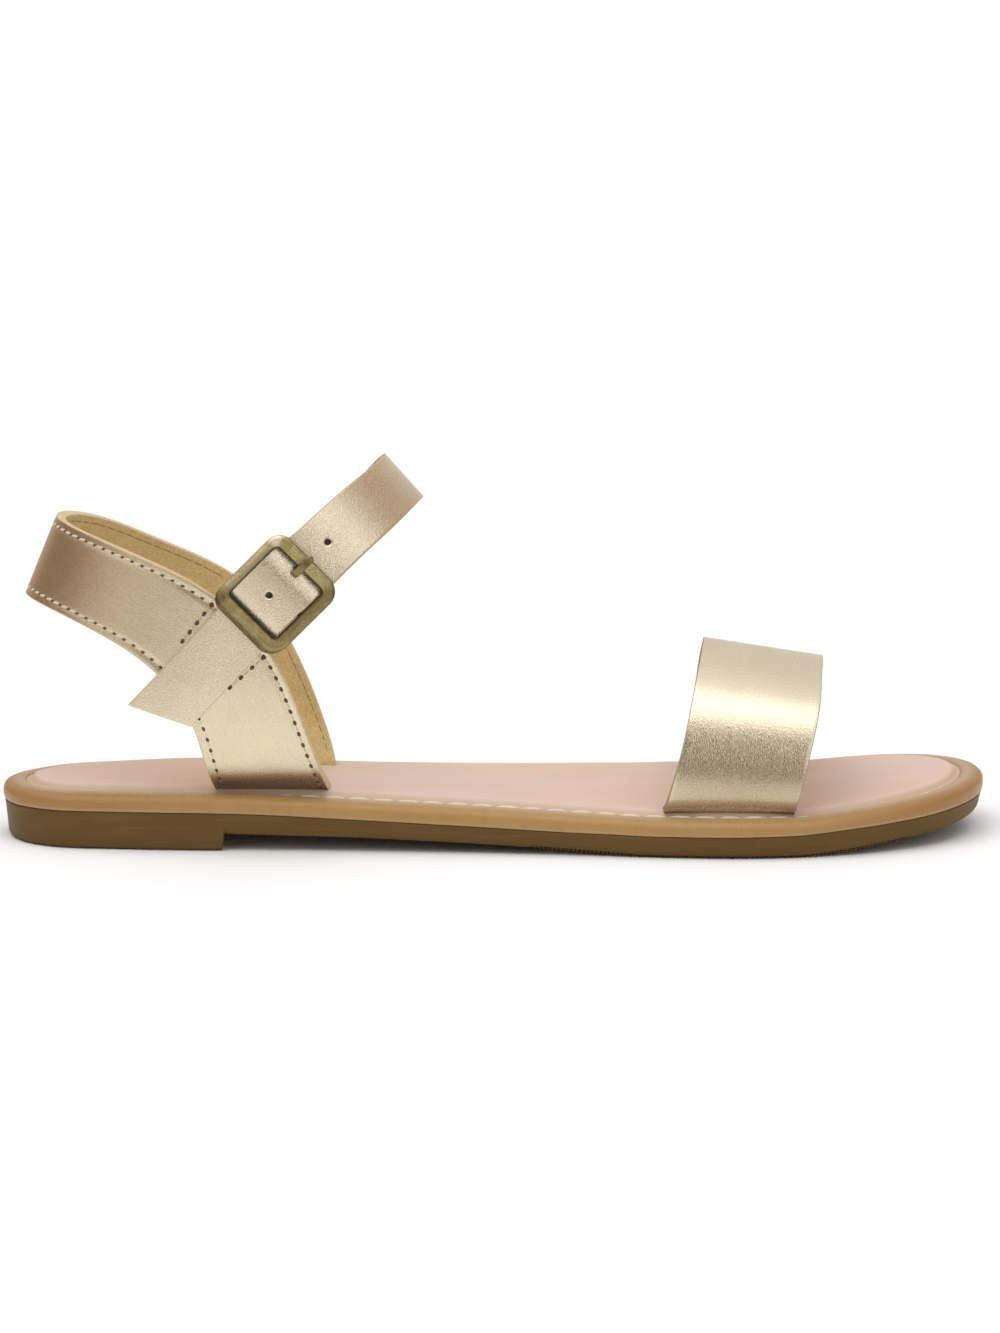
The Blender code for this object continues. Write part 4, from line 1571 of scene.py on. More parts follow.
@dataclass
class ToeStrap(StrapSheet):
    """Broad strap arched over the toes, both ends standing in the footbed.

    Attributes:
        sections: Place across, rear edge and height, front edge and height, from outer slit to inner slit.
    """

    heart: Place = (65.0, 0.0, 12.0)
    wall: float = 2.0
    foot: float = 3.5
    rows: int = 240
    profile: StrapProfile = StrapProfile(face_columns=30, edge_round=0.22)
    sections: Table = (
        (-31.6, 41.6, 10.2, 74.3, 9.8), (-35.3, 42.3, 12.3, 74.8, 11.7), (-36.9, 43.3, 15.8, 75.7, 15.0),
        (-36.0, 46.6, 27.8, 78.5, 26.2),
        (-29.8, 49.1, 38.5, 80.8, 35.4), (-16.5, 51.2, 45.2, 82.0, 40.5), (0.0, 52.6, 47.3, 83.2, 42.1),
        (16.0, 53.3, 45.5, 83.8, 41.0), (29.0, 52.9, 39.1, 82.6, 35.5), (36.8, 52.0, 29.3, 80.2, 26.7),
        (38.0, 50.6, 19.3, 78.8, 18.2), (34.5, 49.0, 10.7, 77.6, 10.3),
    )

    def length(self) -> float:
        """Return the running length over the arch."""
        table = np.array(self.sections)
        return float(running_length(table[:, (0, 2)])[-1])

    def surface(self, run: Array, share: Array) -> Array:
        """Arch: straight lines from the rear edge curve to the front edge curve, and upright ends below them.

        Args:
            run: Places along the strap.
            share: Shares across it, a row for each place.

        Returns:
            Points.
        """
        table = np.array(self.sections)
        knots = running_length(table[:, (0, 2)])
        inside = np.clip(run, 0.0, knots[-1])
        row = natural_cubic(knots, table, inside)[:, None]
        x = row[..., 1] * (1.0 - share) + row[..., 3] * share
        z = row[..., 2] * (1.0 - share) + row[..., 4] * share - np.abs(run - inside)[:, None]
        return np.stack(np.broadcast_arrays(x, row[..., 0], z), axis=-1)

    def slits(self) -> Table:
        """Return rear, front and place across of both slits."""
        first, last = self.sections[0], self.sections[-1]
        return ((first[1], first[3], first[0]), (last[1], last[3], last[0]))

    def build(self, finishes: Finishes) -> None:
        """Make and dress the toe strap.

        Args:
            finishes: All materials.
        """
        runs = np.linspace(-self.foot, self.length() + self.foot, self.rows)
        shell = self.shell(runs, self.profile)
        materials = [finishes.toe_leather, finishes.toe_edge, finishes.lining]
        make_piece("toe_strap_leather", shell, materials, ("toe_strap",))


@dataclass(frozen=True)
class HeelPlan:
    """Plan of the heel strap: an oval that leans back with height and is drawn in near the sole.

    Attributes:
        draw: Height and share of the half width.
    """

    centre: float = -4.5
    oval_length: float = 55.0
    oval_half: float = 29.0
    straight: float = 100.0
    back: float = -117.8
    back_height: float = 60.6
    lean: float = 0.41
    draw: Table = (
        (9.0, 0.58), (14.0, 0.59), (16.0, 0.70), (18.4, 0.81), (21.5, 0.89), (26.0, 0.945), (31.0, 0.973),
        (37.0, 0.99), (45.0, 1.0), (62.0, 1.0), (90.0, 0.95),
    )
    steps: int = 181

    def back_at(self, height: Array) -> Array:
        """Return the rearmost place at a height."""
        return self.back + self.lean * (height - self.back_height)

    def half_width(self, ahead: Array, height: Array) -> Array:
        """Return the half width of the oval at a distance ahead of its back, drawn in by height.

        Args:
            ahead: Distances ahead of the back.
            height: Heights, of the same shape.

        Returns:
            Half widths.
        """
        share = np.clip(1.0 - ahead / self.oval_length, 0.0, 1.0)
        drawn = even_cubic(*np.array(self.draw).T, np.ravel(height)).reshape(np.shape(height))
        return self.oval_half * np.sqrt(1.0 - share * share) * drawn

    def lengths(self) -> tuple[Array, Array]:
        """Return running lengths along the oval and the distances ahead that they reach.

        Returns:
            Lengths and distances, with the straight sides as their last step.
        """
        angle = np.linspace(0.0, 0.5 * math.pi, self.steps)
        ahead = self.oval_length * (1.0 - np.cos(angle))
        lengths = running_length(np.column_stack((ahead, self.oval_half * np.sin(angle))))
        return np.append(lengths, lengths[-1] + self.straight), np.append(ahead, ahead[-1] + self.straight)


@dataclass
class HeelStrap(StrapSheet):
    """Heel strap from the outer slit round the heel to the inner slit, sewn along its edges.

    Attributes:
        foot_run: Part of a run that the straight end takes.
        outer: Lower or rear edge and height, upper or front edge and height, from the back to the outer slit.
        inner: The same, to the inner slit.
        edge_rows: First run, last run, upper edge and inset of each pale seam.
        quarter_rows: The same of each dark seam.
        cross_rows: Run, first share and last share of each seam across the strap.
    """

    heart: Place = (-70.0, -4.5, 45.0)
    wall: float = 2.6
    step: float = 0.002
    foot: float = 4.0
    foot_run: float = 0.1
    rows: int = 420
    seam_points: int = 400
    cross_points: int = 120
    profile: StrapProfile = StrapProfile(face_columns=56, lining_columns=20, edge_round=0.3)
    plan: HeelPlan = field(default_factory=HeelPlan)
    outer: Table = (
        (-117.8, 61.1, -109.1, 81.1), (-101.4, 55.8, -88.5, 74.1), (-84.4, 45.5, -69.4, 64.6),
        (-75.6, 33.0, -55.7, 50.6), (-72.6, 23.4, -47.0, 30.6), (-69.9, 14.4, -41.2, 14.3),
    )
    inner: Table = (
        (-117.8, 61.1, -109.1, 81.1), (-101.3, 55.3, -89.2, 73.0), (-84.8, 45.2, -69.9, 63.3),
        (-75.7, 32.9, -56.4, 50.3), (-72.2, 23.4, -46.7, 30.5), (-69.8, 14.4, -41.0, 14.3),
    )
    groove: float = 0.16
    groove_inset: float = 2.0
    groove_reach: float = 0.7
    edge_rows: Table = ((-2.04, 2.04, 1.0, 1.95), (-2.02, 2.02, 0.0, 2.1))
    quarter_rows: Table = ((-4.87, -2.98, 1.0, 1.8), (-4.87, -3.03, 0.0, 2.5),
                           (2.98, 4.87, 1.0, 1.8), (3.03, 4.87, 0.0, 2.5))
    cross_rows: Table = ((-2.03, 0.92, 0.44), (-2.98, 0.92, 0.50), (2.03, 0.92, 0.1), (2.98, 0.92, 0.1))

    EDGE_SEAM = Seam(2.85, Bead(2.35, 0.72, 0.34, 0.03, 9.0), Bead(1.15, 0.78, 0.13, 0.0, 9.0))
    DARK_SEAM = Seam(2.85, Bead(1.90, 0.34, 0.16, 0.06, 6.0), Bead(1.42, 1.05, 0.15, 0.0, 6.0))
    BACK_SEAM = Seam(2.85, Bead(3.05, 0.34, 0.10, 0.02))

    def surface(self, run: Array, share: Array) -> Array:
        """Band on the plan: straight shares between its two edge curves, as length round the oval and height.

        Args:
            run: Places along the strap.
            share: Shares across it, a row for each place.

        Returns:
            Points.
        """
        lengths, ahead = self.plan.lengths()
        last = len(self.outer) - 1
        mirrored = self.unrolled(self.outer)[:0:-1] * (-1.0, 1.0, -1.0, 1.0)
        rows = np.vstack((mirrored, self.unrolled(self.inner)))
        inside = np.clip(run, -last, last)
        row = natural_cubic(np.arange(-last, last + 1), rows, inside)[:, None]
        around = row[..., 0] * (1.0 - share) + row[..., 2] * share
        z = row[..., 1] * (1.0 - share) + row[..., 3] * share
        reach = np.interp(np.abs(around), lengths, ahead)
        y = self.plan.centre + np.sign(around) * self.plan.half_width(reach, z)
        drop = self.foot / self.foot_run * np.abs(run - inside)[:, None]
        return np.stack((self.plan.back_at(z) + reach, y, z - drop), axis=-1)

    def unrolled(self, sections: Table) -> Array:
        """Return sections as length round the plan and height, for the lower and the upper edge.

        Args:
            sections: Edges and heights from the back to a slit.

        Returns:
            Length and height of either edge, by row.
        """
        lengths, ahead = self.plan.lengths()
        table = np.array(sections)
        low_run = np.interp(table[:, 0] - self.plan.back_at(table[:, 1]), ahead, lengths)
        up_run = np.interp(table[:, 2] - self.plan.back_at(table[:, 3]), ahead, lengths)
        return np.column_stack((low_run, table[:, 1], up_run, table[:, 3]))

    def slits(self) -> Table:
        """Return where both slits lie.

        Returns:
            Rear, front and place across of each slit.
        """
        half = self.plan.oval_half * self.plan.draw[0][1]
        ends = ((self.outer[-1], Side.OUTER), (self.inner[-1], Side.INNER))
        return tuple((end[0], end[2], self.plan.centre + side.value * half) for end, side in ends)

    def pressed(self, lay: Array, width: Array) -> Array:
        """Return the height of the face: a shallow groove along both edges where the seams lie."""
        from_edge = 0.5 * width[:, None] - np.abs(lay[..., 1])
        return -self.groove * np.exp(-((from_edge - self.groove_inset) / self.groove_reach) ** 2)

    def on_wall(self, run: Array, share: Array, sink: float, facing: float = 1.0) -> tuple[Array, Array]:
        """Return points on one side of the wall and the directions out of it.

        Args:
            run: Places along the strap.
            share: Share across the strap at each place, as a column.
            sink: How far the points lie under the surface.
            facing: 1 for the face, -1 for the lining.

        Returns:
            Points and directions.
        """
        normal = self.normal(run, share)
        points = self.surface(run, share) + facing * (0.5 * self.wall - sink) * normal
        return points[:, 0], facing * normal[:, 0]

    def edge_path(self, row: tuple[float, ...], facing: float = 1.0) -> tuple[Array, Array]:
        """Return a seam's path along one edge, from a row of first run, last run, upper edge and inset.

        Args:
            row: One row of edge_rows or quarter_rows.
            facing: 1 for the face, -1 for the lining.

        Returns:
            Points and directions.
        """
        first, last, upper, inset = row
        run = np.linspace(first, last, self.seam_points)
        share = inset / self.span_across(run)
        share = 1.0 - share if upper else share
        return self.on_wall(run, share, self.groove if facing > 0.0 else 0.0, facing)

    def cross_path(self, row: tuple[float, ...]) -> tuple[Array, Array]:
        """Return a seam's path across the strap, from a row of run, first share and last share.

        Args:
            row: One row of cross_rows.

        Returns:
            Points and directions.
        """
        run, first, last = row
        share = np.linspace(first, last, self.cross_points)[:, None]
        return self.on_wall(np.full(self.cross_points, run), share, 0.0)

    def build(self, finishes: Finishes) -> None:
        """Make and dress the heel strap and its seams.

        Args:
            finishes: All materials.
        """
        last = len(self.outer) - 1
        runs = np.linspace(-last, last, self.rows)
        runs = np.concatenate(([-last - self.foot_run], runs, [last + self.foot_run]))
        shell = self.shell(runs, self.profile, self.pressed)
        materials = [finishes.heel_leather, finishes.edge, finishes.lining]
        make_piece("heel_strap_leather", shell, materials, ("heel_and_ankle_strap",))
        self.sew(finishes)

    def sew(self, finishes: Finishes) -> None:
        """Sew both edges: pale threads round the heel, sunk dark ones on the quarters, backs inside.

        Args:
            finishes: All materials.
        """
        bold = [self.EDGE_SEAM.along(*self.edge_path(row)) for row in self.edge_rows]
        dark = [self.DARK_SEAM.along(*self.edge_path(row)) for row in self.quarter_rows]
        dark += [self.DARK_SEAM.along(*self.cross_path(row)) for row in self.cross_rows]
        rows = self.edge_rows + self.quarter_rows
        backs = joined([self.BACK_SEAM.along(*self.edge_path(row, -1.0))[0] for row in rows])
        pale, sunk = (joined([threads for threads, _ in seams]) for seams in (bold, dark))
        holes = joined([holes for _, holes in bold + dark])
        make_piece("heel_threads", pale, [finishes.thread])
        make_piece("quarter_threads", sunk, [finishes.sunk_thread])
        # The needle holes are small dark discs: painted shade.
        make_piece("strap_needle_hole_shades", holes, [finishes.hole])
        make_piece("lining_threads", backs, [finishes.back_thread])


@dataclass
class AnkleStrap(StrapSheet):
    """Ankle strap from its tail on the outer side, through the buckle, round the ankle to the inner side.

    Attributes:
        rise: Height of the strap inside the buckle.
        spread: How much wider the strap is inside the frame.
        offset: How far it lies aside there.
        fold: Height of the bend over the hinge bar.
        hole_lip: How far a hole's wall lies inside and outside its radius.
        sections: Upper edge, lower edge, and how far the section lies on the heel strap.
    """

    heart: Place = (-60.0, -4.5, 60.0)
    wall: float = 1.4
    step: float = 0.05
    rows: int = 520
    profile: StrapProfile = StrapProfile(face_columns=50, edge_round=0.2)
    gap: float = 0.3
    rise: float = 0.7
    rise_reach: float = 7.7
    rise_place: float = 0.3
    rise_square: int = 8
    spread: float = 0.06
    offset: float = 0.02
    frame_reach: float = 11.0
    frame_square: int = 4
    fold: float = 0.28
    fold_reach: float = 2.2
    fold_place: float = 3.9
    buckle_section: int = 3
    hole_radius: float = 0.85
    hole_lip: Pair = (0.25, 0.15)
    hole_depth: float = 0.9
    heel: HeelStrap = field(default_factory=HeelStrap)
    sections: Table = (
        (-91.2, -33.0, 37.6, -75.5, -34.0, 32.4, 1.0), (-80.1, -35.0, 49.4, -67.0, -35.5, 41.5, 1.0),
        (-69.2, -35.8, 61.3, -58.1, -35.8, 51.0, 1.0), (-60.3, -36.0, 71.0, -49.3, -36.0, 60.4, 0.0),
        (-50.4, -34.5, 79.9, -39.8, -34.5, 68.9, 0.0), (-38.7, -28.0, 89.8, -28.4, -28.0, 78.9, 0.0),
        (-28.7, -6.0, 95.9, -19.1, -6.0, 85.0, 0.0), (-29.6, 8.0, 94.2, -19.4, 8.0, 83.0, 0.0),
        (-36.5, 19.0, 86.0, -26.0, 19.0, 75.0, 0.0), (-47.5, 24.0, 75.2, -37.0, 24.0, 64.0, 0.0),
        (-57.5, 24.5, 64.8, -47.0, 24.5, 53.5, 0.0), (-66.5, 24.5, 55.4, -56.0, 24.5, 44.1, 0.0),
    )

    HOLES = ((41.2, 0.3), (51.0, 0.4), (60.9, 0.5))
    # Cross creases darkened as wear and as painted shade of the bend.
    WORN_AND_SHADED_BENDS = ((44.8, 3.2, 0.38), (34.4, 2.6, 0.25), (54.5, 2.6, 0.2))

    def knots(self) -> Array:
        """Return the running length of the strap's middle at each section."""
        table = np.array(self.sections)
        return running_length(0.5 * (table[:, 0:3] + table[:, 3:6]))

    def surface(self, run: Array, share: Array) -> Array:
        """Straight shares from lower to upper edge curve, laid on the heel strap and lifted in the buckle.

        Args:
            run: Places along the strap.
            share: Shares across it, a row for each place.

        Returns:
            Points.
        """
        table = np.array(self.sections)
        knots = self.knots()
        inside = np.clip(run, 0.0, knots[-1])
        row = natural_cubic(knots, table[:, :6], inside)[:, None]
        from_frame = (inside - knots[self.buckle_section]) / self.frame_reach
        in_frame = np.exp(-from_frame ** self.frame_square)[:, None]
        share = 0.5 + (share - 0.5) * (1.0 + self.spread * in_frame) + self.offset * in_frame
        grid = row[..., 3:6] * (1.0 - share[..., None]) + row[..., 0:3] * share[..., None]
        x, y, z = (grid[..., axis] for axis in range(3))
        plan = self.heel.plan
        lie = even_cubic(knots, table[:, 6], inside)[:, None]
        off = 0.5 * self.heel.wall + self.gap + 0.5 * self.wall
        rest = plan.centre - plan.half_width(x - plan.back_at(z), z) - off
        from_buckle = run[:, None] - knots[self.buckle_section] - self.rise_place
        lift = self.rise * np.exp(-(from_buckle / self.rise_reach) ** self.rise_square)
        lift = lift + self.fold * np.exp(-((from_buckle - self.fold_place) / self.fold_reach) ** 2)
        return np.stack((x, lie * rest + (1.0 - lie) * y - lift, z), axis=-1)

    def punched(self, lay: Array, _width: Array) -> Array:
        """Return the relief of the punched holes: the face drops into a flat pit round each centre.

        Args:
            lay: Lay of the face.
            _width: Widths of its rows, not used here.

        Returns:
            Heights.
        """
        away = lay[..., None, :2] - np.array(self.HOLES)
        nearest = np.min(np.hypot(away[..., 0], away[..., 1]), axis=-1)
        inside, outside = self.hole_lip
        open_part = 1.0 - ease(self.hole_radius - inside, self.hole_radius + outside, nearest)
        return -self.hole_depth * open_part

    def build(self, finishes: Finishes) -> None:
        """Make and dress the ankle strap.

        Args:
            finishes: All materials.
        """
        runs = np.linspace(0.0, self.knots()[-1], self.rows)
        shell = self.shell(runs, self.profile, self.punched)
        materials = [finishes.ankle_leather, finishes.ankle_edge, finishes.lining]
        make_piece("ankle_strap_leather", shell, materials, ("heel_and_ankle_strap",))


# Buckle

@dataclass
class RouteSheet(StrapSheet):
    """Narrow strip that follows a route along and outwards of the buckle.

    Attributes:
        tip: Share of the width at the far end.
    """

    buckle: Buckle
    route: Array
    width: float
    wall: float
    middle: float = 0.0
    taper: float = 0.0
    tip: float = 0.35
    heart: Place = (-60.0, -4.5, 60.0)
    step: float = 0.03

    def knots(self) -> Array:
        """Return the running length of the route."""
        return running_length(self.route)

    def surface(self, run: Array, share: Array) -> Array:
        """Route through its points with straight shares across, narrowing over the taper.

        Args:
            run: Places along the strap.
            share: Shares across it, a row for each place.

        Returns:
            Points.
        """
        knots = self.knots()
        row = natural_cubic(knots, self.route, np.clip(run, 0.0, knots[-1]))[:, None]
        width = np.full((len(run), 1), self.width)
        if self.taper:
            left = np.clip((knots[-1] - run) / self.taper, 0.0, 1.0)[:, None]
            width = width * (self.tip + (1.0 - self.tip) * np.sqrt(1.0 - (1.0 - left) ** 2))
        across = self.middle + (share - 0.5) * width
        local = np.broadcast_arrays(row[..., 0], across, row[..., 1])
        return self.buckle.placed(np.stack(local, axis=-1))


@dataclass
class Buckle:
    """Square frame buckle with its hinge bar, prong and tab.

    Attributes:
        slimmer: Share of its outer half that the upper bar lacks.
        wider: Share of its outer half that the rear bar has more.
        roll: Slope of the upper bar towards its outer edge.
        glint_facing: Direction along and across where the bars are painted lighter, as a painted highlight.
        rub: How much lighter they are painted there, up to a painted glint.
        bar_flat: Power that flattens a bar's section, and how much rounder the upper bar is.
        hinge_post: Place in from the side bar and under it, where the hinge bar's end comes down.
        prong_route: Points of the prong along and outwards.
        tab_route: Points of the tab's root along and outwards.
    """

    ankle: AnkleStrap = field(default_factory=AnkleStrap)
    shift: Place = (0.57, 0.0, 0.51)
    opening: Pair = (16.75, 15.9)
    bar: float = 3.5
    thickness: float = 1.4
    height: float = 1.45
    corner: float = 4.5
    slimmer: float = 0.5
    wider: float = 0.57
    roll: float = 0.4
    glint_facing: Pair = (0.55, 0.83)
    rub: float = 1.6
    bar_square: float = 0.8
    bar_flat: Pair = (0.55, 0.4)
    corner_points: int = 12
    side_points: int = 7
    round_points: tuple[int, int] = (22, 14)
    hinge_radius: float = 0.7
    hinge_drop: float = 1.9
    hinge_post: Table = ((0.0, 1.0), (0.0, 2.8), (0.5, 3.7))
    hinge_inset: float = 1.4
    gap: float = 0.3
    curl_points: int = 14
    prong_width: float = 2.0
    prong_wall: float = 0.8
    prong_curl: Pair = (300.0, 90.0)
    prong_route: Table = (
        (4.8, -0.5), (5.7, -0.1), (6.2, 0.7), (6.4, 1.6), (7.1, 2.4), (8.7, 2.75), (11.0, 2.75), (12.7, 2.3),
    )
    prong_taper: float = 1.6
    rows: tuple[int, int, int] = (70, 24, 30)
    tab_width: float = 15.4
    tab_wall: float = 0.7
    tab_notch: float = 3.0
    tab_curl: Pair = (-110.0, 120.0)
    tab_route: Table = ((-19.0, -5.75), (-13.0, -5.35), (-8.0, -4.6), (-4.0, -3.6))

    STRIP_COLUMNS = (6, 6, 6)
    STRIP_ROUND = 0.45

    def axes(self) -> tuple[Array, Array]:
        """Return the buckle's place and its directions along, across and out of the strap.

        Returns:
            The place, and one direction in each row.
        """
        table = np.array(self.ankle.sections)
        upper, lower = table[:, 0:3], table[:, 3:6]
        centre = 0.5 * (upper + lower)
        k = self.ankle.buckle_section
        along = unit(centre[k + 1] - centre[k - 1])
        across = upper[k] - lower[k]
        across = unit(across - along * across.dot(along))
        return centre[k] + self.shift, np.stack((along, across, np.cross(along, across)))

    def placed(self, local: Array) -> Array:
        """Return points given along, across and out of the buckle in the shoe's frame."""
        place, axes = self.axes()
        return place + local @ axes

    def curl(self, angles: Pair, wall: float) -> Array:
        """Return an arc round the hinge bar between two angles in degrees.

        Args:
            angles: First and last angle.
            wall: Thickness of what is curled.

        Returns:
            Points along and outwards.
        """
        turn = np.radians(np.linspace(*angles, self.curl_points))
        radius = self.hinge_radius + self.gap + 0.5 * wall
        return np.column_stack((radius * np.cos(turn), radius * np.sin(turn) - self.hinge_drop))

    def frame_ring(self) -> Shell:
        """Round bar carried round a square with soft corners: arcs joined by straight sides.

        Returns:
            The closed frame.
        """
        half = 0.5 * (np.array(self.opening) + self.bar)
        radius = self.corner - 0.5 * self.bar
        quarter = 0.5 * math.pi
        turn = np.linspace(0.0, quarter, self.corner_points) + quarter * np.arange(4)[:, None]
        facing = np.stack((np.cos(turn), np.sin(turn)), axis=-1)
        path = np.sign(facing.mean(axis=1, keepdims=True)) * (half - radius) + radius * facing
        ends, starts = path[:, -1:], np.roll(path[:, :1], -1, axis=0)
        share = np.linspace(0.0, 1.0, self.side_points + 1, endpoint=False)[1:, None]
        path = np.concatenate((path, ends + (starts - ends) * share), axis=1).reshape(-1, 2)
        side_facing = np.repeat(facing[:, -1:], self.side_points, axis=1)
        facing = np.concatenate((facing, side_facing), axis=1).reshape(-1, 2)
        around = np.linspace(0.0, 2.0 * math.pi, self.round_points[0], endpoint=False)
        cosine, sine = np.cos(around), np.sin(around)
        across = 0.5 * self.bar * np.sign(cosine) * np.abs(cosine) ** self.bar_square
        upper = np.clip(facing[:, 1:], 0.0, 1.0) ** 2
        power = self.bar_flat[0] + self.bar_flat[1] * upper
        lift = 0.5 * self.thickness * np.sign(sine) * np.abs(sine) ** power
        rear = np.clip(-facing[:, :1], 0.0, 1.0) ** 2
        reach = across * np.where(across > 0.0, 1.0 - self.slimmer * upper + self.wider * rear, 1.0)
        flat = path[:, None] + facing[:, None] * reach[..., None]
        rise = self.height + lift - self.roll * upper * (reach + 0.5 * self.bar)
        local = np.concatenate((flat, rise[..., None]), axis=-1)
        # Third lay value: the bar's crown for wear, plus a painted highlight towards the upper left.
        worn_and_lit = lift + self.rub * np.clip(facing @ np.array(self.glint_facing)[:, None], 0.0, 1.0) ** 2
        lay = np.stack(np.broadcast_arrays(running_length(path)[:, None], reach, worn_and_lit), axis=-1)
        return swept_shell(self.placed(local), lay, wrap_rows=True)

    def hinge(self) -> Shell:
        """Round rod that leaves one side bar, drops under the strap and comes up to the other side bar.

        Returns:
            The closed rod.
        """
        side = 0.5 * (self.opening[1] + self.bar)
        post = np.array((*self.hinge_post, (self.hinge_inset, self.height + self.hinge_drop)))
        path = np.column_stack((np.zeros(len(post)), side - post[:, 0], self.height - post[:, 1]))
        path = np.vstack((path, path[::-1] * (1.0, -1.0, 1.0)))
        ahead = unit(np.gradient(path, axis=0))
        aside = np.array((1.0, 0.0, 0.0))
        around = np.linspace(0.0, 2.0 * math.pi, self.round_points[1], endpoint=False)
        ring = (np.cos(around)[None, :, None] * aside
                + np.sin(around)[None, :, None] * np.cross(ahead, aside)[:, None])
        lay = np.stack(np.broadcast_arrays(running_length(path)[:, None], around[None], 0.0), axis=-1)
        return swept_shell(self.placed(path[:, None] + self.hinge_radius * ring), lay)

    def strip(self, route: Array, width: float, wall: float, rows: int, **placing: float) -> Shell:
        """Return a narrow strip along a route.

        Args:
            route: Points along and outwards.
            width: Width of the strip.
            wall: Its thickness.
            rows: Rows of points along it.
            placing: Further values of the strip's sheet.

        Returns:
            The closed strip.
        """
        sheet = RouteSheet(self, np.asarray(route, float), width, wall, **placing)
        runs = np.linspace(0.0, sheet.knots()[-1], rows)
        return sheet.shell(runs, StrapProfile(*self.STRIP_COLUMNS, self.STRIP_ROUND * wall, self.bar_square))

    def build(self, finishes: Finishes) -> None:
        """Make and dress frame, prong and tab.

        Args:
            finishes: All materials.
        """
        frame = joined([self.frame_ring(), self.hinge()])
        make_piece("buckle_frame_brass", frame, [finishes.brass], ("buckle_frame",))
        prong_rows, root_rows, curl_rows = self.rows
        route = np.vstack((self.curl(self.prong_curl, self.prong_wall), self.prong_route))
        prong = self.strip(route, self.prong_width, self.prong_wall, prong_rows, taper=self.prong_taper)
        make_piece("buckle_prong_brass", prong, [finishes.brass] * 3, ("buckle_prong",))
        root = np.array(self.tab_route)
        curl = self.curl(self.tab_curl, self.tab_wall)
        side = 0.5 * (self.tab_width - self.tab_notch)
        middle = 0.5 * (self.tab_notch + side)
        strips = [self.strip(np.vstack((root, curl[:1])), self.tab_width, self.tab_wall, root_rows)]
        loop = np.vstack((root[-1:], curl))
        for sign in Side:
            strips.append(self.strip(loop, side, self.tab_wall, curl_rows, middle=sign.value * middle))
        make_piece("buckle_tab_leather", joined(strips), [finishes.lining, finishes.edge, finishes.lining],
                   ("buckle_tab",))


# Studio

@dataclass(frozen=True)
class Sky:
    """Light of the studio by direction: X towards the toe, Y away from the camera and Z up.

    The upper sky is bright. The lower one is dark in front and at the left, a little dark behind the toe and
    brighter at the right of the front. A Span gives limits along an axis and the values that they stand for.
    """

    front_middle: float = -0.05
    front_width: Span = (0.22, 0.28, 1.0, 0.0)
    front_depth: Span = (-0.80, -0.50, 1.0, 0.0)
    front_dark: float = 0.88
    front_raise: float = 0.42
    left_width: Span = (-0.9, -0.45, 1.0, 0.0)
    left_depth: Span = (-0.65, -0.2, 0.0, 1.0)
    left_back: Span = (0.75, 0.97, 1.0, 0.3)
    left_dark: float = 0.62
    left_raise: float = 0.12
    behind_width: Span = (0.2, 0.5, 0.0, 1.0)
    behind_depth: Span = (-0.1, 0.4, 0.0, 1.0)
    behind_dark: float = 0.18
    plain: Span = (-0.8, 0.2, 0.58, 0.78)
    right_gain: Span = (0.22, 0.34, 0.0, 0.75)
    right_depth: Span = (-0.6, -0.2, 1.0, 0.0)
    right_loss: Span = (0.45, 0.85, 1.0, 0.52)
    horizon: Span = (0.30, 0.78, 0.0, 1.0)
    high_depth: Span = (-0.1, 0.8, 1.3, 0.92)
    high_width: Span = (0.4, 0.75, 1.0, 0.4)
    warm: Colour = (1.0, 0.60, 0.27)
    warm_reach: Span = (0.15, 1.0, 1.0, 0.0)

    def strength(self, graph: Graph) -> Socket:
        """Strength by direction: the upper sky, and below it the plain sky less its darkest zone.

        Args:
            graph: Graph of the world.

        Returns:
            The strength.
        """
        axes = graph.axes(graph.add("ShaderNodeTexCoord", {}).outputs["Generated"])
        x, y, z = axes["X"], axes["Y"], axes["Z"]
        aside = graph.math("ABSOLUTE", graph.math("SUBTRACT", x, self.front_middle))
        front = graph.math("MULTIPLY", graph.span(y, *self.front_depth), graph.span(aside, *self.front_width))
        left = graph.math("MULTIPLY", graph.span(x, *self.left_width), graph.span(y, *self.left_depth),
                          graph.span(y, *self.left_back))
        behind = graph.math("MULTIPLY", graph.span(x, *self.behind_width), graph.span(y, *self.behind_depth))
        dark = graph.math("MAXIMUM", graph.math("MULTIPLY", front, self.front_dark),
                          graph.math("MULTIPLY", left, self.left_dark),
                          graph.math("MULTIPLY", behind, self.behind_dark))
        gain = graph.math("MULTIPLY", graph.span(x, *self.right_gain), graph.span(y, *self.right_depth))
        plain = graph.math("ADD", graph.span(x, *self.plain), gain)
        light = graph.math("SUBTRACT", 1.0, dark)
        low = graph.math("MULTIPLY", plain, graph.span(x, *self.right_loss), light)
        raised = graph.math("ADD", graph.math("MULTIPLY", front, self.front_raise),
                            graph.math("MULTIPLY", left, self.left_raise))
        share = graph.span(graph.math("SUBTRACT", z, raised), *self.horizon)
        high = graph.math("MULTIPLY", share, graph.span(y, *self.high_depth), graph.span(x, *self.high_width))
        return graph.math("ADD", high, graph.math("MULTIPLY", graph.math("SUBTRACT", 1.0, share), low))

    def build(self) -> None:
        """Fill the studio with this light, warm for glossy rays where it is weak."""
        world = bpy.data.worlds.new("studio")
        bpy.context.scene.world = world
        world.use_nodes = True
        graph = Graph(world.node_tree)
        strength = self.strength(graph)
        glossy = graph.add("ShaderNodeLightPath", {}).outputs["Is Glossy Ray"]
        warmth = graph.math("MULTIPLY", glossy, graph.span(strength, *self.warm_reach))
        background = world.node_tree.nodes["Background"]
        graph.feed(background.inputs["Color"], graph.mix(warmth, (1.0, 1.0, 1.0), self.warm))
        graph.feed(background.inputs["Strength"], strength)


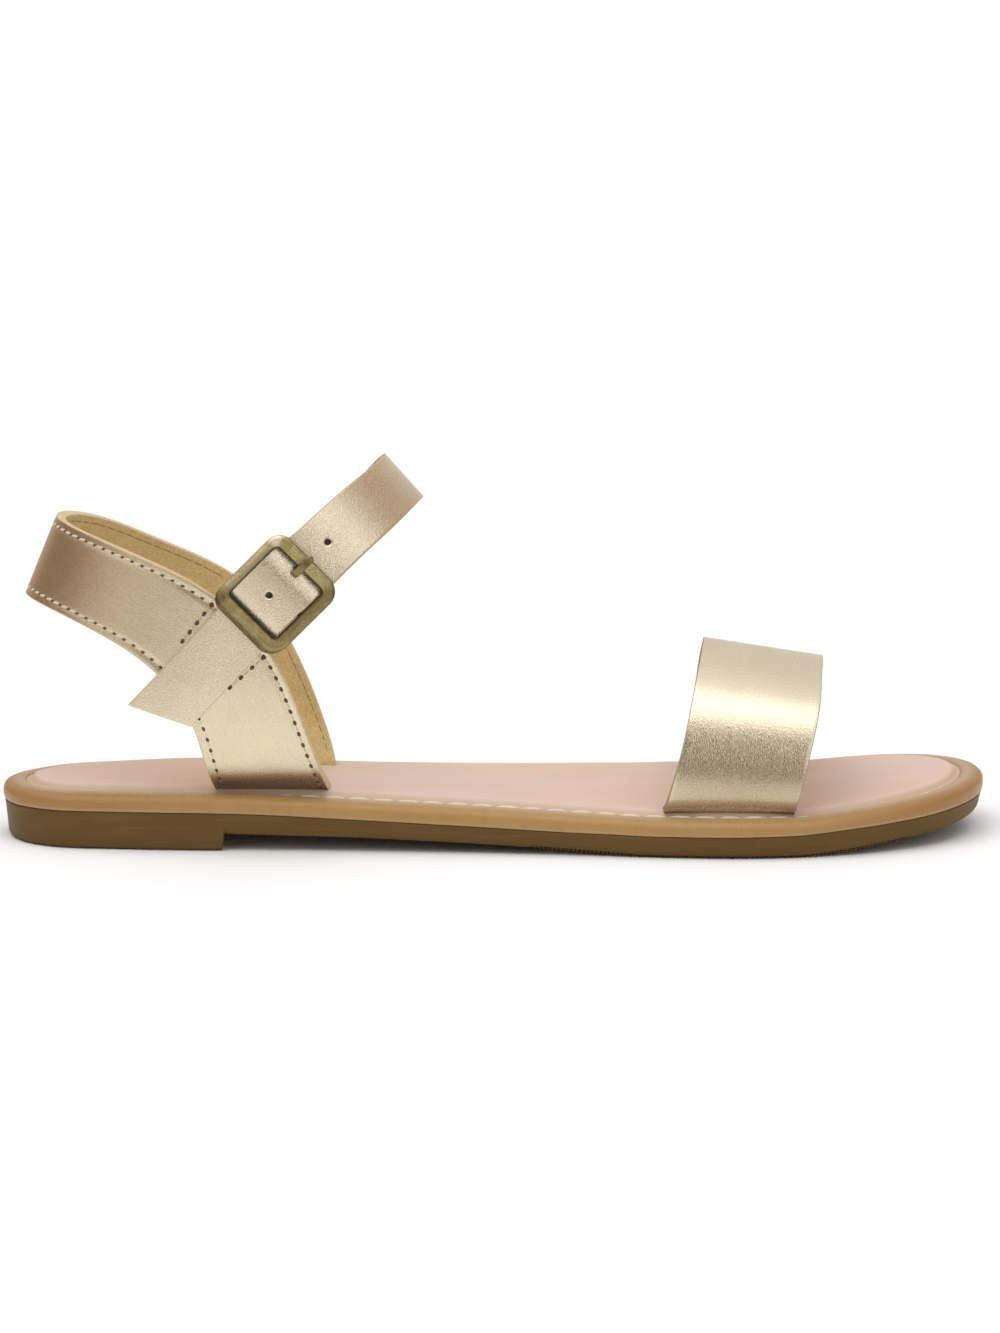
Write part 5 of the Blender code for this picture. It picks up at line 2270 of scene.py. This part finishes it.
@dataclass
class Studio:
    """Pale floor, soft light from above and a camera at the photo's angle."""

    elevation: float = 9.4
    distance: float = 1400.0
    target: Place = (0.0, -1.0, 40.0)
    focal: float = 5507.6
    image: tuple[int, int] = (1000, 1333)
    axis_pixel: Pair = (495.3, 673.5)
    sensor: float = 36.0
    clip: Pair = (0.05, 60.0)
    floor_half: float = 14000.0
    floor_gap: float = 0.05
    lamp_place: Place = (-0.2, -0.33, 1.33)
    lamp_aim: Place = (0.02, 0.0, 0.02)
    lamp_size: Pair = (1.5, 1.1)
    lamp_power: float = 4.8

    def build(self, finishes: Finishes) -> None:
        """Set up floor, light and camera.

        Args:
            finishes: All materials.
        """
        self.floor(finishes)
        Sky().build()
        self.lamp()
        self.camera()
        bpy.context.scene.view_settings.view_transform = "Standard"

    def floor(self, finishes: Finishes) -> None:
        """Lay a plain pale floor just under the sole: one square.

        Args:
            finishes: All materials.
        """
        mesh = bpy.data.meshes.new("floor")
        signs = np.array(((-1.0, -1.0), (1.0, -1.0), (1.0, 1.0), (-1.0, 1.0)))
        corners = np.column_stack((self.floor_half * signs, np.full(4, -self.floor_gap)))
        mesh.from_pydata((corners * MM).tolist(), [], [(0, 1, 2, 3)])
        mesh.materials.append(finishes.floor)
        floor = bpy.data.objects.new("floor", mesh)
        bpy.context.scene.collection.objects.link(floor)

    def lamp(self) -> None:
        """Hang a soft rectangular lamp in front of the shoe."""
        light = bpy.data.lights.new("front_softbox", "AREA")
        light.shape = "RECTANGLE"
        light.size, light.size_y = self.lamp_size
        light.energy = self.lamp_power
        lamp = bpy.data.objects.new("front_softbox", light)
        lamp.location = self.lamp_place
        back = unit(np.array(self.lamp_place) - np.array(self.lamp_aim))
        lamp.rotation_euler = (math.acos(back[2]), 0.0, math.atan2(back[0], -back[1]))
        bpy.context.scene.collection.objects.link(lamp)

    def camera(self) -> None:
        """Place the camera on its circle round the shoe and shift the frame by a few pixels."""
        tilt = math.radians(self.elevation)
        longest = max(self.image)
        data = bpy.data.cameras.new("camera")
        data.sensor_width = self.sensor
        data.lens = self.sensor * self.focal / longest
        data.shift_x = (0.5 * self.image[0] - self.axis_pixel[0]) / longest
        data.shift_y = (self.axis_pixel[1] - 0.5 * self.image[1]) / longest
        data.clip_start, data.clip_end = self.clip
        camera = bpy.data.objects.new("camera", data)
        back = np.array((0.0, -math.cos(tilt), math.sin(tilt)))
        camera.location = (np.array(self.target) + self.distance * back) * MM
        camera.rotation_euler = (0.5 * math.pi - tilt, 0.0, 0.0)
        bpy.context.scene.collection.objects.link(camera)
        bpy.context.scene.camera = camera


def main() -> None:
    """Dress the packed sandal and set up the studio."""
    logging.basicConfig(level=logging.INFO, format="%(name)s: %(message)s")
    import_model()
    finishes = Finishes()
    toe = ToeStrap()
    heel = HeelStrap()
    Outsole().build(finishes)
    Rim().build(finishes)
    Footbed(slits=toe.slits() + heel.slits()).build(finishes)
    toe.build(finishes)
    heel.build(finishes)
    ankle = AnkleStrap()
    ankle.build(finishes)
    Buckle(ankle).build(finishes)
    Studio().build(finishes)


if __name__ == "__main__":
    main()
